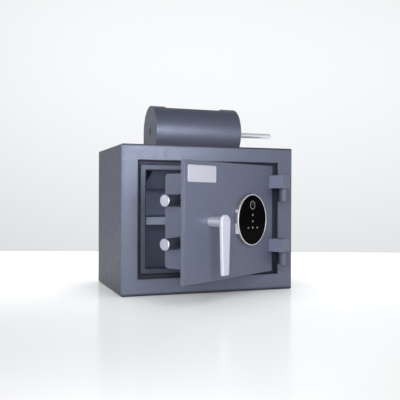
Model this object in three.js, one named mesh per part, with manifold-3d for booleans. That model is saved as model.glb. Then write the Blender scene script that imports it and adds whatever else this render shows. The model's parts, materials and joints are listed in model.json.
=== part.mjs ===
// Drop safe with a rotary deposit drum, in millimetres, +Z up.
// The origin is the middle of the underside of the safe; the door faces -Y.
// Depths named ...Depth or ...Front are measured back from the front plane.
import * as THREE from 'three';
import { mergeVertices, toCreasedNormals } from 'three/addons/utils/BufferGeometryUtils.js';
import Module from 'manifold-3d';

const wasm = await Module();
wasm.setup();

// Safe body, read from the photograph with the height taken as 300.
const bodyW = 371;
const bodyD = 242;
const bodyH = 300;
const sheet = 3;
const foldR = 3;
const frontY = -bodyD / 2;
const backY = bodyD / 2;

// Clearances that many pieces share.
const seatGap = 0.3;
const runGap = 0.3;
const overrun = 1;

// Front plate; its four bands leave the doorway.
const frontT = 10;
const bandLeft = 33.5;
const bandRight = 31.5;
const bandLow = 33.5;
const bandTop = 31.5;
const doorwayW = bodyW - bandLeft - bandRight;
const doorwayH = bodyH - bandLow - bandTop;
const doorMidX = (bandLeft - bandRight) / 2;
const doorMidZ = bandLow + doorwayH / 2;
const edgeRound = 1.2;
const notchW = 5;
const notchR = 4;

// Door plate; the gap round it is the same on all four sides.
const doorGap = 7;
const doorW = doorwayW - 2 * doorGap;
const doorH = doorwayH - 2 * doorGap;
const doorT = 9;
const doorOpenDeg = 32.4;
const doorLeft = doorMidX - doorW / 2;
const doorRight = doorMidX + doorW / 2;
const doorLow = doorMidZ - doorH / 2;
const doorTop = doorMidZ + doorH / 2;

// Door stop ring and the frame that carries it.
const stopBand = 12.5;
const stopStep = 1.5;
const stopFront = frontT + stopStep;
const stopDepth = 10;
const stopWall = 3;
const stopR = 4;
const stopBevel = 2;
const jambT = 3;
const jambRear = stopFront + stopDepth + jambT;

// Hinges: a block on the door over a barrel on the body, with a pin.
const hingeSide = 1.8;
const hingeOut = 23;
const hingeX = doorMidX + doorwayW / 2 + hingeSide;
const hingeY = frontY - hingeOut;
const hingeInTop = 47;
const hingeInLow = 42;
const hingeJoints = { upper: doorTop - hingeInTop, lower: doorLow + hingeInLow };
const blockOnDoor = 14.5;
const blockX0 = doorRight - blockOnDoor;
const blockOver = 10.7;
const blockFace = 10;
const blockH = 27;
const blockRelief = 3.5;
const blockRound = 2;
const barrelR = 10;
const barrelH = 27.5;
const strapT = 6.3;
const pinR = 4.8;
const pinClear = 0.25;
const pinCap = 3;

// Locking bolts, thrown past the door's edge and drawn in clear of the stop.
const boltR = 11;
const boltProud = 11;
const boltTip = doorLeft - boltProud;
const boltBehindJamb = 1;
const boltDepth = jambRear + boltBehindJamb + boltR;
const boltUp = 38.5;
const boltDown = 39;
const boltHeights = [doorMidZ + boltUp, doorMidZ - boltDown];
const boltChamfer = 1.2;
const boltHoleClear = 0.8;
const boltDrawnIn = 9.5;
const stroke = boltProud + stopBand + boltDrawnIn;

// Casing behind the door, with the lid of its battery bay.
const caseInLeft = 30;
const caseInRight = 32.5;
const caseInLow = 24;
const caseInTop = 23;
const caseX0 = doorLeft + caseInLeft;
const caseX1 = doorRight - caseInRight;
const caseZ0 = doorLow + caseInLow;
const caseZ1 = doorTop - caseInTop;
const caseDepth = 70;
const caseWall = 2;
const caseFold = 7;
const caseFlange = 8;
const lidW = 84;
const lidH = 74;
const lidSide = 10.5;
const lidX = caseX1 - lidSide - lidW / 2;
const lidT = 1.5;
const lidOver = 5;
const lidKnobR = 6;
const lidKnobT = 4;
const lidKnobIn = 8;
const screwR = 4;
const screwT = 2.4;
const screwTopShare = 0.8;
const screwIn = 22.75;

// Bolt guide plate just inside the casing wall.
const guideClear = 0.6;
const guideX0 = caseX0 + caseWall + guideClear;
const guideT = 4;
const guideFoot = 14;
const guideOver = 19;
const guideEdge = 7.5;
const guideReach = boltDepth + boltR + guideEdge;

// Slotted carriage that joins the bolts, left of the handle's spindle.
const carriageT = 6;
const carriageGap = 0.4;
const carriageOver = 12;
const carriageTail = 18;
const carriageCorner = 4;
const carriageLift = 0.6;
const carriageX0 = guideX0 + guideFoot + carriageGap;
const carriageZ0 = boltHeights[1] - carriageOver;
const carriageZ1 = boltHeights[0] + carriageOver;

// The crank pin carries the carriage through one stroke in a quarter turn.
const crankRestDeg = 135;
const crankR = stroke / Math.SQRT2;
const crankT = 5;
const crankUnderBolt = 2.5;
const crankDepth = boltDepth - boltR - crankUnderBolt - crankT;
const crankPinR = 4;
const crankHubR = 12;
const crankEyeR = 7.5;
const crankPinProud = 1.5;
const crankPinLong = boltDepth + carriageT / 2 + crankPinProud - crankDepth - crankT;
const crankSlotW = 10.4;
const crankSlotOver = 3;
const crankSlotIn = 6.3;

// Handle: a lever on a round spindle, half a stroke from the crank slot.
const handleX = carriageX0 + crankSlotIn + crankSlotW / 2 + stroke / 2;
const handleZ = doorMidZ;
const leverOut = 30;
const leverT = 7;
const leverHeadR = 13.4;
const leverTipW = 19;
const leverReach = 96.5;
const leverCorner = 1.5;
const spindleR = 7.6;
const spindleClear = 0.5;

// Shouldered posts that the carriage slides on, clear of the crank's sweep.
const slotClear = 0.5;
const slotEnd = 1;
const postR = 4;
const postHeadR = 7;
const postHeadT = 3;
const postFootR = 8;
const postClear = 1.2;
const postSpread = 31.5;
const postX = handleX + crankR + crankEyeR + postClear + postFootR;
const postHeights = [handleZ + postSpread, handleZ - postSpread];
const carriageX1 = postX + carriageTail;

// Dead bar on the hinge side, reaching behind the jamb frame.
const deadFromCase = 5.5;
const deadX0 = caseX1 + deadFromCase;
const deadProud = 3;
const deadTip = doorRight + deadProud;
const deadLeg = 8;
const deadBehindJamb = 6;
const deadFront = jambRear + deadBehindJamb;
const deadT = 8;
const deadInEnds = 25;
const deadHalf = doorH / 2 - stopBand - deadInEnds;
const deadFootW = 12;
const deadFootT = 4;

// Round lock on the front: metal rim, glass face.
const lockInRight = 86.5;
const lockX = doorRight - lockInRight;
const lockZ = doorMidZ;
const lockR = 52;
const lockT = 8;
const rimW = 2.4;
const rimRound = 1.2;
const glassT = 3;
const glassSink = 0.8;
const cableHoleR = 7;
const cableR = 2.5;

// Driver over the carriage. Its plunger drops behind a lug on the carriage when
// the bolts are thrown, and into a recess before the lug when they are drawn in.
const plungerR = 3.4;
const plungerGap = 2;
const plungerX = carriageX1 + plungerGap + plungerR;
const lugH = 7.5;
const lugClear = 1.5;
const recessX0 = plungerX - stroke - plungerR - lugClear;
const recessX1 = plungerX - stroke + plungerR + lugClear;
const plungerLong = 22;
const plungerBelow = 2;
const plungerClear = 0.3;
const driverW = 36;
const driverH = 26;
const driverD = 26;
const driverSideGap = 0.5;
const driverX0 = carriageX1 + driverSideGap;
const driverX1 = driverX0 + driverW;
const driverUnderTop = 4.5;
const driverZ0 = caseZ1 - caseWall - driverUnderTop - driverH;
const driverFront = boltDepth - driverD / 2;

// Battery bay: a tray behind the lid, with its cells.
const cellR = 7.1;
const cellLong = 50;
const cellGap = 0.4;
const cellCount = 4;
const cellPitch = 2 * cellR + cellGap;
const holderWall = 2;
const holderEnd = 5;
const holderSlack = 0.4;
const holderHeadroom = 6;
const holderW = cellLong + 2 * (holderEnd + holderWall);
const holderH = cellPitch * cellCount + holderSlack + 2 * holderWall;
const holderD = 2 * cellR + holderWall + holderHeadroom;
const holderFootW = 20;

// Bare plate at the top left of the door.
const plateInX = 8.4;
const plateInTop = 8.2;
const plateW = 82.8;
const plateH = 30.6;
const plateT = 1.2;
const plateR = 3;
const plateX0 = doorLeft + plateInX;
const plateZ0 = doorTop - plateInTop - plateH;

// Rotary drum: hood with a window, turning pocket rotor, pull rod.
const drumRise = 37.5;
const drumZ = bodyH + drumRise;
const hoodR = 56;
const hoodT = 3;
const hoodHalf = 96;
const endT = 3;
const windowHalf = 67;
const windowFrontDeg = 25;
const windowRearDeg = 62;
const bushWall = 2.6;
const bushFlange = 1.5;
const bushFlangeOver = 3;
const bushClear = 0.3;
const rotorGap = 2.5;
const rotorEndGap = 1;
const rotorR = hoodR - hoodT - rotorGap;
const rotorHalf = hoodHalf - endT - bushFlange - rotorEndGap;
const rotorSkin = 2.5;
const rotorDisc = 2.5;
const rotorLipDeg = 15;
const rotorFloor = 10;
const rodR = 5.5;
const rodOut = 98.5;
const rodTip = hoodHalf + rodOut;
const rodHoleR = 1.6;
const rodHoleIn = 9.5;
const stubR = 4.8;
const stubProud = 0.8;

// Opening under the drum: as wide as the rotor is where it meets the top.
const openSide = 1.7;
const openEnd = 2;
const openHalfX = rotorHalf + openEnd;
const openHalfY = Math.sqrt(rotorR * rotorR - drumRise * drumRise) + openSide;

// Chute and fishing baffle below the drum.
const chuteT = 2;
const chuteStep = 0.5;
const chuteHalfX = openHalfX + chuteStep + chuteT;
const chuteHalfY = openHalfY + chuteStep + chuteT;
const chuteDrop = 34;
const chuteLow = bodyH - sheet - chuteDrop;
const chuteFlange = 10;
const baffleT = 2;
const baffleTab = 16;
const baffleReach = 24;
const baffleFall = 49;
const baffleRearY = chuteHalfY + baffleReach;
const baffleRearZ = chuteLow - baffleFall;
const baffleCurl = 8;

// Shelf and its side rails; the shut door's casing stays in front of it.
const shelfTop = 152.6;
const shelfBehindCase = 20;
const shelfFrontY = frontY + caseDepth + shelfBehindCase;
const shelfT = 2;
const shelfLip = 16;
const shelfRearLip = 12;
const shelfSideGap = 1.5;
const railLeg = 20;
const railT = 2.5;
const railInFront = 9;
const railInRear = 14;

// Fixing holes in the floor and the back.
const anchorR = 6;
const anchorInSide = 75.5;
const anchorInRear = 61;
const anchorInTop = 90;
const anchorX = bodyW / 2 - anchorInSide;
const anchorY = backY - anchorInRear;
const backAnchorZ = bodyH - anchorInTop;
const sleeveOver = 4;
const sleeveT = 1.5;

// Facets on round work.
const roundSteps = 40;
const smallSteps = 24;
const arcSteps = 10;
const cornerSteps = 4;
const screwSides = 12;
const weld = 1e-4;
const creaseAngle = 0.6;

const deg = (d) => (d * Math.PI) / 180;
const metal = (colour, roughness, metalness) => ({ colour, roughness, metalness });
const paint = metal('#6b7285', 0.55, 0.35);
const paintIn = metal('#4a5062', 0.6, 0.35);
const satin = metal('#c9ccd6', 0.35, 0.9);
const steel = metal('#9aa0a8', 0.4, 0.85);
const zinc = metal('#a9adb2', 0.5, 0.8);
const darkSteel = metal('#3c4048', 0.5, 0.7);
const chrome = metal('#e6e8ec', 0.12, 1);
const glassLook = metal('#050507', 0.08, 0);
const bronze = metal('#9a7440', 0.45, 0.8);
const plasticLook = metal('#1d1f23', 0.6, 0);
const cellLook = metal('#2f6f4e', 0.5, 0.2);

// Turns a geometry into a solid that can be cut and joined.
function solidOf(geometry) {
  const bare = geometry.index ? geometry.toNonIndexed() : geometry.clone();
  bare.deleteAttribute('normal');
  bare.deleteAttribute('uv');
  const welded = mergeVertices(bare, weld);
  return new wasm.Manifold(new wasm.Mesh({
    numProp: 3,
    vertProperties: new Float32Array(welded.attributes.position.array),
    triVerts: new Uint32Array(welded.index.array),
  }));
}

function placeMesh(group, name, solid, look) {
  const data = solid.getMesh();
  const geometry = new THREE.BufferGeometry();
  geometry.setAttribute('position', new THREE.BufferAttribute(data.vertProperties, 3));
  geometry.setIndex(new THREE.BufferAttribute(data.triVerts, 1));
  const material = new THREE.MeshStandardMaterial({
    color: look.colour, roughness: look.roughness, metalness: look.metalness,
  });
  const mesh = new THREE.Mesh(toCreasedNormals(geometry, creaseAngle), material);
  mesh.name = name;
  group.add(mesh);
  return mesh;
}

// Outlines. A rounded rectangle is given by two corners and a radius.
function rectShape(x0, y0, x1, y1, radius = 0, shape = new THREE.Shape()) {
  if (radius <= 0) {
    shape.moveTo(x0, y0);
    shape.lineTo(x1, y0);
    shape.lineTo(x1, y1);
    shape.lineTo(x0, y1);
    shape.closePath();
    return shape;
  }
  shape.moveTo(x0 + radius, y0);
  shape.lineTo(x1 - radius, y0);
  shape.absarc(x1 - radius, y0 + radius, radius, -Math.PI / 2, 0, false);
  shape.lineTo(x1, y1 - radius);
  shape.absarc(x1 - radius, y1 - radius, radius, 0, Math.PI / 2, false);
  shape.lineTo(x0 + radius, y1);
  shape.absarc(x0 + radius, y1 - radius, radius, Math.PI / 2, Math.PI, false);
  shape.lineTo(x0, y0 + radius);
  shape.absarc(x0 + radius, y0 + radius, radius, Math.PI, 1.5 * Math.PI, false);
  return shape;
}

function polyShape(points) {
  return new THREE.Shape(points.map(([a, b]) => new THREE.Vector2(a, b)));
}

function extruded(shape, depth, bevel = 0, steps = arcSteps) {
  return new THREE.ExtrudeGeometry(shape, {
    depth: depth - 2 * bevel,
    curveSegments: steps,
    bevelEnabled: bevel > 0,
    bevelThickness: bevel,
    bevelSize: bevel,
    bevelOffset: -bevel,
    bevelSegments: 1,
  }).translate(0, 0, bevel);
}

// Outline in (x, z), thickness along +Y from y0.
function alongY(shape, y0, depth, bevel = 0, steps = arcSteps) {
  const g = extruded(shape, depth, bevel, steps);
  return solidOf(g.rotateX(Math.PI / 2).translate(0, y0 + depth, 0));
}

// Outline in (y, z), length along +X from x0.
function alongX(shape, x0, length, bevel = 0, steps = arcSteps) {
  const g = extruded(shape, length, bevel, steps);
  const turn = new THREE.Matrix4().makeBasis(
    new THREE.Vector3(0, 1, 0), new THREE.Vector3(0, 0, 1), new THREE.Vector3(1, 0, 0),
  );
  return solidOf(g.applyMatrix4(turn).translate(x0, 0, 0));
}

// Outline in (x, y), height along +Z from z0.
function alongZ(shape, z0, height, bevel = 0, steps = arcSteps) {
  return solidOf(extruded(shape, height, bevel, steps).translate(0, 0, z0));
}

function box(x0, y0, z0, x1, y1, z1) {
  const g = new THREE.BoxGeometry(x1 - x0, y1 - y0, z1 - z0);
  return solidOf(g.translate((x0 + x1) / 2, (y0 + y1) / 2, (z0 + z1) / 2));
}

// A turned piece: pairs of (radius, position along the axis), then an axis.
function turned(profile, axis, at, steps = roundSteps) {
  const points = profile.map(([r, h]) => new THREE.Vector2(r, h));
  const g = new THREE.LatheGeometry(points, steps);
  if (axis === 'x') g.rotateZ(-Math.PI / 2);
  if (axis === 'z') g.rotateX(Math.PI / 2);
  return solidOf(g.translate(...at));
}

function rod(radius, axis, at, length, steps = roundSteps) {
  return turned([[0, 0], [radius, 0], [radius, length], [0, length]], axis, at, steps);
}

// Safe body: one folded wrap with the drum opening and floor fixing holes.
function bodyWrap() {
  const outer = rectShape(-bodyW / 2, 0, bodyW / 2, bodyH, foldR);
  const hole = new THREE.Path();
  rectShape(-bodyW / 2 + sheet, sheet, bodyW / 2 - sheet, bodyH - sheet, 0, hole);
  outer.holes.push(hole);
  let wrap = alongY(outer, frontY, bodyD, 0, cornerSteps);
  wrap = wrap.subtract(box(-openHalfX, -openHalfY, bodyH - sheet - overrun,
    openHalfX, openHalfY, bodyH + overrun));
  for (const side of [-1, 1]) {
    const at = [side * anchorX, anchorY, -overrun];
    wrap = wrap.subtract(rod(anchorR, 'z', at, sheet + 2 * overrun, smallSteps));
  }
  return wrap;
}

function backPlate() {
  const half = bodyW / 2 - sheet;
  let plate = box(-half, backY - sheet, sheet, half, backY, bodyH - sheet);
  for (const side of [-1, 1]) {
    const at = [side * anchorX, backY - sheet - overrun, backAnchorZ];
    plate = plate.subtract(rod(anchorR, 'y', at, sheet + 2 * overrun, smallSteps));
  }
  return plate;
}

// Sleeve with a collar that closes a fixing hole until it is used.
function anchorSleeve() {
  const collar = anchorR + sleeveOver;
  return [
    [0, 0], [anchorR - runGap, 0], [anchorR - runGap, sheet],
    [collar, sheet], [collar, sheet + sleeveT], [0, sheet + sleeveT],
  ];
}

// Front plate: doorway, and beside it a notch for each hinge barrel.
function frontFrame() {
  const half = bodyW / 2 - sheet;
  const x0 = doorMidX - doorwayW / 2;
  const x1 = doorMidX + doorwayW / 2;
  const z0 = doorMidZ - doorwayH / 2;
  const z1 = doorMidZ + doorwayH / 2;
  const outer = rectShape(-half, sheet, half, bodyH - sheet);
  const hole = new THREE.Path();
  hole.moveTo(x0, z0);
  hole.lineTo(x1, z0);
  for (const joint of [hingeJoints.lower, hingeJoints.upper]) {
    const low = joint - barrelH;
    const high = joint + blockRelief;
    hole.lineTo(x1, low);
    hole.lineTo(x1 + notchW - notchR, low);
    hole.absarc(x1 + notchW - notchR, low + notchR, notchR, -Math.PI / 2, 0, false);
    hole.lineTo(x1 + notchW, high);
    hole.lineTo(x1, high);
  }
  hole.lineTo(x1, z1);
  hole.lineTo(x0, z1);
  hole.closePath();
  outer.holes.push(hole);
  return alongY(outer, frontY, frontT, edgeRound, cornerSteps);
}

function ringSolid(halfW, halfH, band, y0, depth) {
  const outer = rectShape(doorMidX - halfW, doorMidZ - halfH, doorMidX + halfW, doorMidZ + halfH);
  const hole = new THREE.Path();
  rectShape(doorMidX - halfW + band, doorMidZ - halfH + band,
    doorMidX + halfW - band, doorMidZ + halfH - band, 0, hole);
  outer.holes.push(hole);
  return alongY(outer, y0, depth);
}

// Door stop: a folded channel that runs round behind the door's edge.
function doorStop() {
  const y0 = frontY + stopFront;
  const ring = ringSolid(doorW / 2, doorH / 2, stopBand, y0, stopDepth);
  const bevel = alongY(stopOutline(stopR), y0, stopR, stopBevel);
  const body = ring.subtract(ringSolid(doorW / 2 - stopWall, doorH / 2 - stopWall,
    stopBand - 2 * stopWall, y0 + stopWall, stopDepth));
  const rear = box(-bodyW, y0 + stopR, 0, bodyW, y0 + stopDepth + overrun, bodyH);
  return body.intersect(bevel.add(rear));
}

function stopOutline(radius) {
  const halfW = doorW / 2;
  const halfH = doorH / 2;
  const outer = rectShape(doorMidX - halfW, doorMidZ - halfH,
    doorMidX + halfW, doorMidZ + halfH, radius);
  const hole = new THREE.Path();
  rectShape(doorMidX - halfW + stopBand, doorMidZ - halfH + stopBand,
    doorMidX + halfW - stopBand, doorMidZ + halfH - stopBand, stopBevel, hole);
  outer.holes.push(hole);
  return outer;
}

// Frame behind the stop, from wall to wall, that the bolts lock behind.
function jambFrame() {
  const half = bodyW / 2 - sheet;
  const outer = rectShape(-half, sheet, half, bodyH - sheet);
  const hole = new THREE.Path();
  const halfW = doorW / 2 - stopBand;
  const halfH = doorH / 2 - stopBand;
  rectShape(doorMidX - halfW, doorMidZ - halfH, doorMidX + halfW, doorMidZ + halfH, 0, hole);
  outer.holes.push(hole);
  return alongY(outer, frontY + jambRear - jambT, jambT);
}

// Hinge barrel with the strap that is welded to the front plate.
function hingeBarrel(joint) {
  const low = joint - barrelH - runGap / 2;
  let piece = rod(barrelR, 'z', [hingeX, hingeY, low], barrelH);
  const strapX = hingeX + barrelR;
  piece = piece.add(box(strapX - strapT, hingeY, low, strapX, frontY, low + barrelH));
  const bore = rod(pinR + pinClear, 'z', [hingeX, hingeY, low + pinCap], barrelH, smallSteps);
  return piece.subtract(bore);
}

function hingePin(joint) {
  const low = joint - barrelH - runGap / 2 + pinCap;
  const high = joint + blockH - pinCap - runGap;
  return rod(pinR, 'z', [hingeX, hingeY, low], high - low, smallSteps);
}

// Hinge block on the door face; its overhang is relieved to swing clear.
function hingeBlock(joint) {
  const low = joint + runGap / 2;
  const right = hingeX + blockOver;
  const face = hingeY - blockFace;
  const rear = frontY - seatGap;
  const outline = polyShape([
    [blockX0, rear], [blockX0, face], [right - blockRound, face], [right, face + blockRound],
    [right, rear - blockRelief], [doorRight, rear - blockRelief], [doorRight, rear],
  ].reverse());
  let block = alongZ(outline, low, blockH);
  block = block.subtract(rod(pinR + pinClear, 'z', [hingeX, hingeY, low - overrun],
    blockH - pinCap + overrun, smallSteps));
  return block;
}

function buildBody(root) {
  placeMesh(root, 'body_wrap', bodyWrap(), paint);
  placeMesh(root, 'back_plate', backPlate(), paint);
  placeMesh(root, 'front_frame', frontFrame(), paint);
  placeMesh(root, 'door_stop', doorStop(), paint);
  placeMesh(root, 'jamb_frame', jambFrame(), paintIn);
  for (const [side, tag] of [[-1, 'left'], [1, 'right']]) {
    const plug = turned(anchorSleeve(), 'z', [0, 0, 0], smallSteps);
    placeMesh(root, `floor_plug_${tag}`, plug.translate([side * anchorX, anchorY, 0]), plasticLook);
  }
  for (const [name, joint] of Object.entries(hingeJoints)) {
    placeMesh(root, `hinge_barrel_${name}`, hingeBarrel(joint), paint);
    placeMesh(root, `hinge_pin_${name}`, hingePin(joint), steel);
  }
}

// Shelf with a folded front lip, on two welded rails.
function buildShelf(root) {
  const half = bodyW / 2 - sheet - shelfSideGap;
  const rearY = backY - sheet - shelfSideGap;
  const low = shelfTop - shelfT;
  const profile = polyShape([
    [shelfFrontY, shelfTop - shelfLip], [shelfFrontY + shelfT, shelfTop - shelfLip],
    [shelfFrontY + shelfT, low], [rearY - shelfT, low],
    [rearY - shelfT, shelfTop - shelfRearLip], [rearY, shelfTop - shelfRearLip],
    [rearY, shelfTop], [shelfFrontY, shelfTop],
  ]);
  placeMesh(root, 'shelf', alongX(profile, -half, 2 * half), paint);
  const wall = bodyW / 2 - sheet;
  const railY0 = shelfFrontY + railInFront;
  const railY1 = backY - sheet - railInRear;
  for (const [side, tag] of [[-1, 'left'], [1, 'right']]) {
    const rail = polyShape([
      [side * wall, low - railLeg], [side * (wall - railT), low - railLeg],
      [side * (wall - railT), low - railT], [side * (wall - railLeg), low - railT],
      [side * (wall - railLeg), low], [side * wall, low],
    ]);
    placeMesh(root, `shelf_rail_${tag}`, alongY(rail, railY0, railY1 - railY0), paintIn);
  }
}

// Points on a circle about the drum axis; the angle runs from the top to the rear.
function drumArc(radius, fromDeg, toDeg, steps) {
  const points = [];
  for (let i = 0; i <= steps; i += 1) {
    const a = deg(fromDeg + ((toDeg - fromDeg) * i) / steps);
    points.push([radius * Math.sin(a), drumZ + radius * Math.cos(a)]);
  }
  return points;
}

// Hood outline: round in front and over the top, straight down at the rear.
function hoodOutline(radius) {
  const startDeg = -(180 - (Math.acos(drumRise / radius) * 180) / Math.PI);
  return [...drumArc(radius, startDeg, 90, roundSteps), [radius, bodyH]];
}

function drumHood() {
  const outer = hoodOutline(hoodR);
  const inner = hoodOutline(hoodR - hoodT).reverse();
  const half = hoodHalf - endT;
  const hood = alongX(polyShape([...outer, ...inner]), -half, 2 * half);
  const far = hoodR + 2 * hoodT;
  const cut = [[0, drumZ], ...drumArc(far, -windowFrontDeg, windowRearDeg, arcSteps)];
  return hood.subtract(alongX(polyShape(cut), -windowHalf, 2 * windowHalf));
}

function hoodEnd(side, holeR) {
  const x0 = side < 0 ? -hoodHalf : hoodHalf - endT;
  const plate = alongX(polyShape(hoodOutline(hoodR)), x0, endT);
  return plate.subtract(rod(holeR, 'x', [x0 - overrun, 0, drumZ], endT + 2 * overrun, smallSteps));
}

// Flanged bush; the flange sits between the end plate and the rotor.
function axleBush(side, shaftR) {
  const bore = shaftR + bushClear;
  const out = bore + bushWall;
  const flange = out + bushFlangeOver;
  const profile = [
    [bore, 0], [out, 0], [out, endT], [flange, endT],
    [flange, endT + bushFlange], [bore, endT + bushFlange], [bore, 0],
  ];
  const at = [0, 0, 0];
  const piece = turned(profile, 'x', at, smallSteps);
  const faced = side < 0 ? piece : piece.mirror([1, 0, 0]);
  return faced.translate([side * hoodHalf, 0, drumZ]);
}

// Rotor skin: a closed back above, a flat pocket floor, and two lips.
function rotorShell() {
  const inner = rotorR - rotorSkin;
  const lip = 90 + rotorLipDeg;
  const half = rotorHalf - rotorDisc;
  const ring = [...drumArc(rotorR, -lip, lip, roundSteps), ...drumArc(inner, lip, -lip, roundSteps)];
  const reach = Math.sqrt(inner * inner - rotorFloor * rotorFloor);
  const low = drumZ + rotorFloor;
  const floor = polyShape([
    [-reach - overrun, low], [reach + overrun, low],
    [reach + overrun, low + rotorSkin], [-reach - overrun, low + rotorSkin],
  ]);
  return alongX(polyShape(ring), -half, 2 * half).add(alongX(floor, -half, 2 * half));
}

function buildDrum(root, rotor) {
  const stubBush = stubR + bushClear + bushWall;
  const rodBush = rodR + bushClear + bushWall;
  placeMesh(root, 'drum_hood', drumHood(), paint);
  placeMesh(root, 'hood_end_left', hoodEnd(-1, stubBush), paint);
  placeMesh(root, 'hood_end_right', hoodEnd(1, rodBush), paint);
  placeMesh(root, 'axle_bush_left', axleBush(-1, stubR), bronze);
  placeMesh(root, 'axle_bush_right', axleBush(1, rodR), bronze);
  placeMesh(rotor, 'rotor_shell', rotorShell(), paint);
  const half = rotorHalf - rotorDisc;
  const leftDisc = rod(rotorR, 'x', [-rotorHalf, 0, drumZ], rotorDisc);
  const rightDisc = rod(rotorR, 'x', [half, 0, drumZ], rotorDisc);
  placeMesh(rotor, 'rotor_disc_left', leftDisc, paint);
  placeMesh(rotor, 'rotor_disc_right', rightDisc, paint);
  const stubLong = hoodHalf + stubProud - rotorHalf;
  const stub = rod(stubR, 'x', [-hoodHalf - stubProud, 0, drumZ], stubLong, smallSteps);
  placeMesh(rotor, 'rotor_stub', stub, steel);
  placeMesh(rotor, 'rotor_rod', pullRod(), chrome);
}

// Pull rod with a rounded tip and a cross hole for a retaining pin.
function pullRod() {
  const profile = [[0, 0], [rodR, 0]];
  const length = rodTip - rotorHalf;
  for (let i = 0; i <= cornerSteps; i += 1) {
    const a = (Math.PI / 2) * (i / cornerSteps);
    profile.push([rodR * Math.cos(a), length - rodR + rodR * Math.sin(a)]);
  }
  const bar = turned(profile, 'x', [rotorHalf, 0, drumZ], smallSteps);
  const hole = rod(rodHoleR, 'z', [rodTip - rodHoleIn, 0, drumZ - rodR - overrun],
    2 * (rodR + overrun), arcSteps);
  return bar.subtract(hole);
}

// Chute under the opening and the sloping plate that stops fishing.
function buildChute(root) {
  const top = bodyH - sheet;
  const outer = rectShape(-chuteHalfX, -chuteHalfY, chuteHalfX, chuteHalfY);
  const hole = new THREE.Path();
  rectShape(-chuteHalfX + chuteT, -chuteHalfY + chuteT,
    chuteHalfX - chuteT, chuteHalfY - chuteT, 0, hole);
  outer.holes.push(hole);
  const brim = rectShape(-chuteHalfX - chuteFlange, -chuteHalfY - chuteFlange,
    chuteHalfX + chuteFlange, chuteHalfY + chuteFlange);
  const brimHole = new THREE.Path();
  rectShape(-chuteHalfX + chuteT, -chuteHalfY + chuteT,
    chuteHalfX - chuteT, chuteHalfY - chuteT, 0, brimHole);
  brim.holes.push(brimHole);
  const duct = alongZ(outer, chuteLow, chuteDrop).add(alongZ(brim, top - chuteT, chuteT));
  placeMesh(root, 'drop_chute', duct, zinc);
  const y0 = -chuteHalfY - baffleT;
  const slope = polyShape([
    [y0, chuteLow + baffleTab], [y0, chuteLow - baffleT], [baffleRearY, baffleRearZ],
    [baffleRearY + baffleCurl, baffleRearZ + baffleCurl],
    [baffleRearY + baffleCurl - baffleT, baffleRearZ + baffleCurl + baffleT / 2],
    [baffleRearY, baffleRearZ + baffleT], [-chuteHalfY, chuteLow],
    [-chuteHalfY, chuteLow + baffleTab],
  ]);
  placeMesh(root, 'fishing_baffle', alongX(slope, -chuteHalfX, 2 * chuteHalfX), zinc);
}

// Door plate with holes for the spindle, the lock cable and the posts.
function doorPlate() {
  const outline = rectShape(doorLeft, doorLow, doorRight, doorTop);
  let plate = alongY(outline, frontY, doorT, edgeRound);
  const through = doorT + 2 * overrun;
  const y0 = frontY - overrun;
  plate = plate.subtract(rod(spindleR + spindleClear, 'y', [handleX, y0, handleZ], through));
  plate = plate.subtract(rod(cableHoleR, 'y', [lockX, y0, lockZ], through, smallSteps));
  return plate;
}

// Casing: one sheet folded over top, rear and bottom, with two side walls.
function boltCase() {
  const y0 = frontY + doorT + seatGap;
  const y1 = frontY + caseDepth;
  const outline = (inset) => {
    const r = caseFold - inset;
    const s = new THREE.Shape();
    s.moveTo(y0 - (inset ? overrun : 0), caseZ0 + inset);
    s.lineTo(y1 - caseFold, caseZ0 + inset);
    s.absarc(y1 - caseFold, caseZ0 + caseFold, r, -Math.PI / 2, 0, false);
    s.lineTo(y1 - inset, caseZ1 - caseFold);
    s.absarc(y1 - caseFold, caseZ1 - caseFold, r, 0, Math.PI / 2, false);
    s.lineTo(y0 - (inset ? overrun : 0), caseZ1 - inset);
    s.closePath();
    return s;
  };
  let shell = alongX(outline(0), caseX0, caseX1 - caseX0, 0, cornerSteps);
  shell = shell.subtract(alongX(outline(caseWall), caseX0 + caseWall,
    caseX1 - caseX0 - 2 * caseWall, 0, cornerSteps));
  shell = shell.add(box(caseX0, y0, caseZ1 - caseWall, caseX1, y0 + caseWall, caseZ1 + caseFlange));
  shell = shell.add(box(caseX0, y0, caseZ0 - caseFlange, caseX1, y0 + caseWall, caseZ0 + caseWall));
  shell = shell.subtract(box(caseX0 + caseWall, y0 - overrun, caseZ0 + caseWall,
    caseX1 - caseWall, y0 + 2 * caseWall, caseZ1 - caseWall));
  for (const z of boltHeights) {
    shell = shell.subtract(rod(boltR + boltHoleClear, 'x',
      [caseX0 - overrun, frontY + boltDepth, z], caseWall + 2 * overrun));
  }
  return shell.subtract(lidOpening(y1));
}

function lidOpening(y1) {
  return box(lidX - lidW / 2, y1 - caseWall - overrun, lockZ - lidH / 2,
    lidX + lidW / 2, y1 + overrun, lockZ + lidH / 2);
}

// Battery lid: a plate over the opening with a thumb knob.
function batteryLid() {
  const y1 = frontY + caseDepth + seatGap;
  const outline = rectShape(lidX - lidW / 2 - lidOver, lockZ - lidH / 2 - lidOver,
    lidX + lidW / 2 + lidOver, lockZ + lidH / 2 + lidOver, lidOver);
  const knobZ = lockZ - lidH / 2 + lidKnobIn;
  const knob = rod(lidKnobR, 'y', [lidX, y1, knobZ], lidT + lidKnobT, smallSteps);
  return alongY(outline, y1, lidT).add(knob);
}

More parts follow.
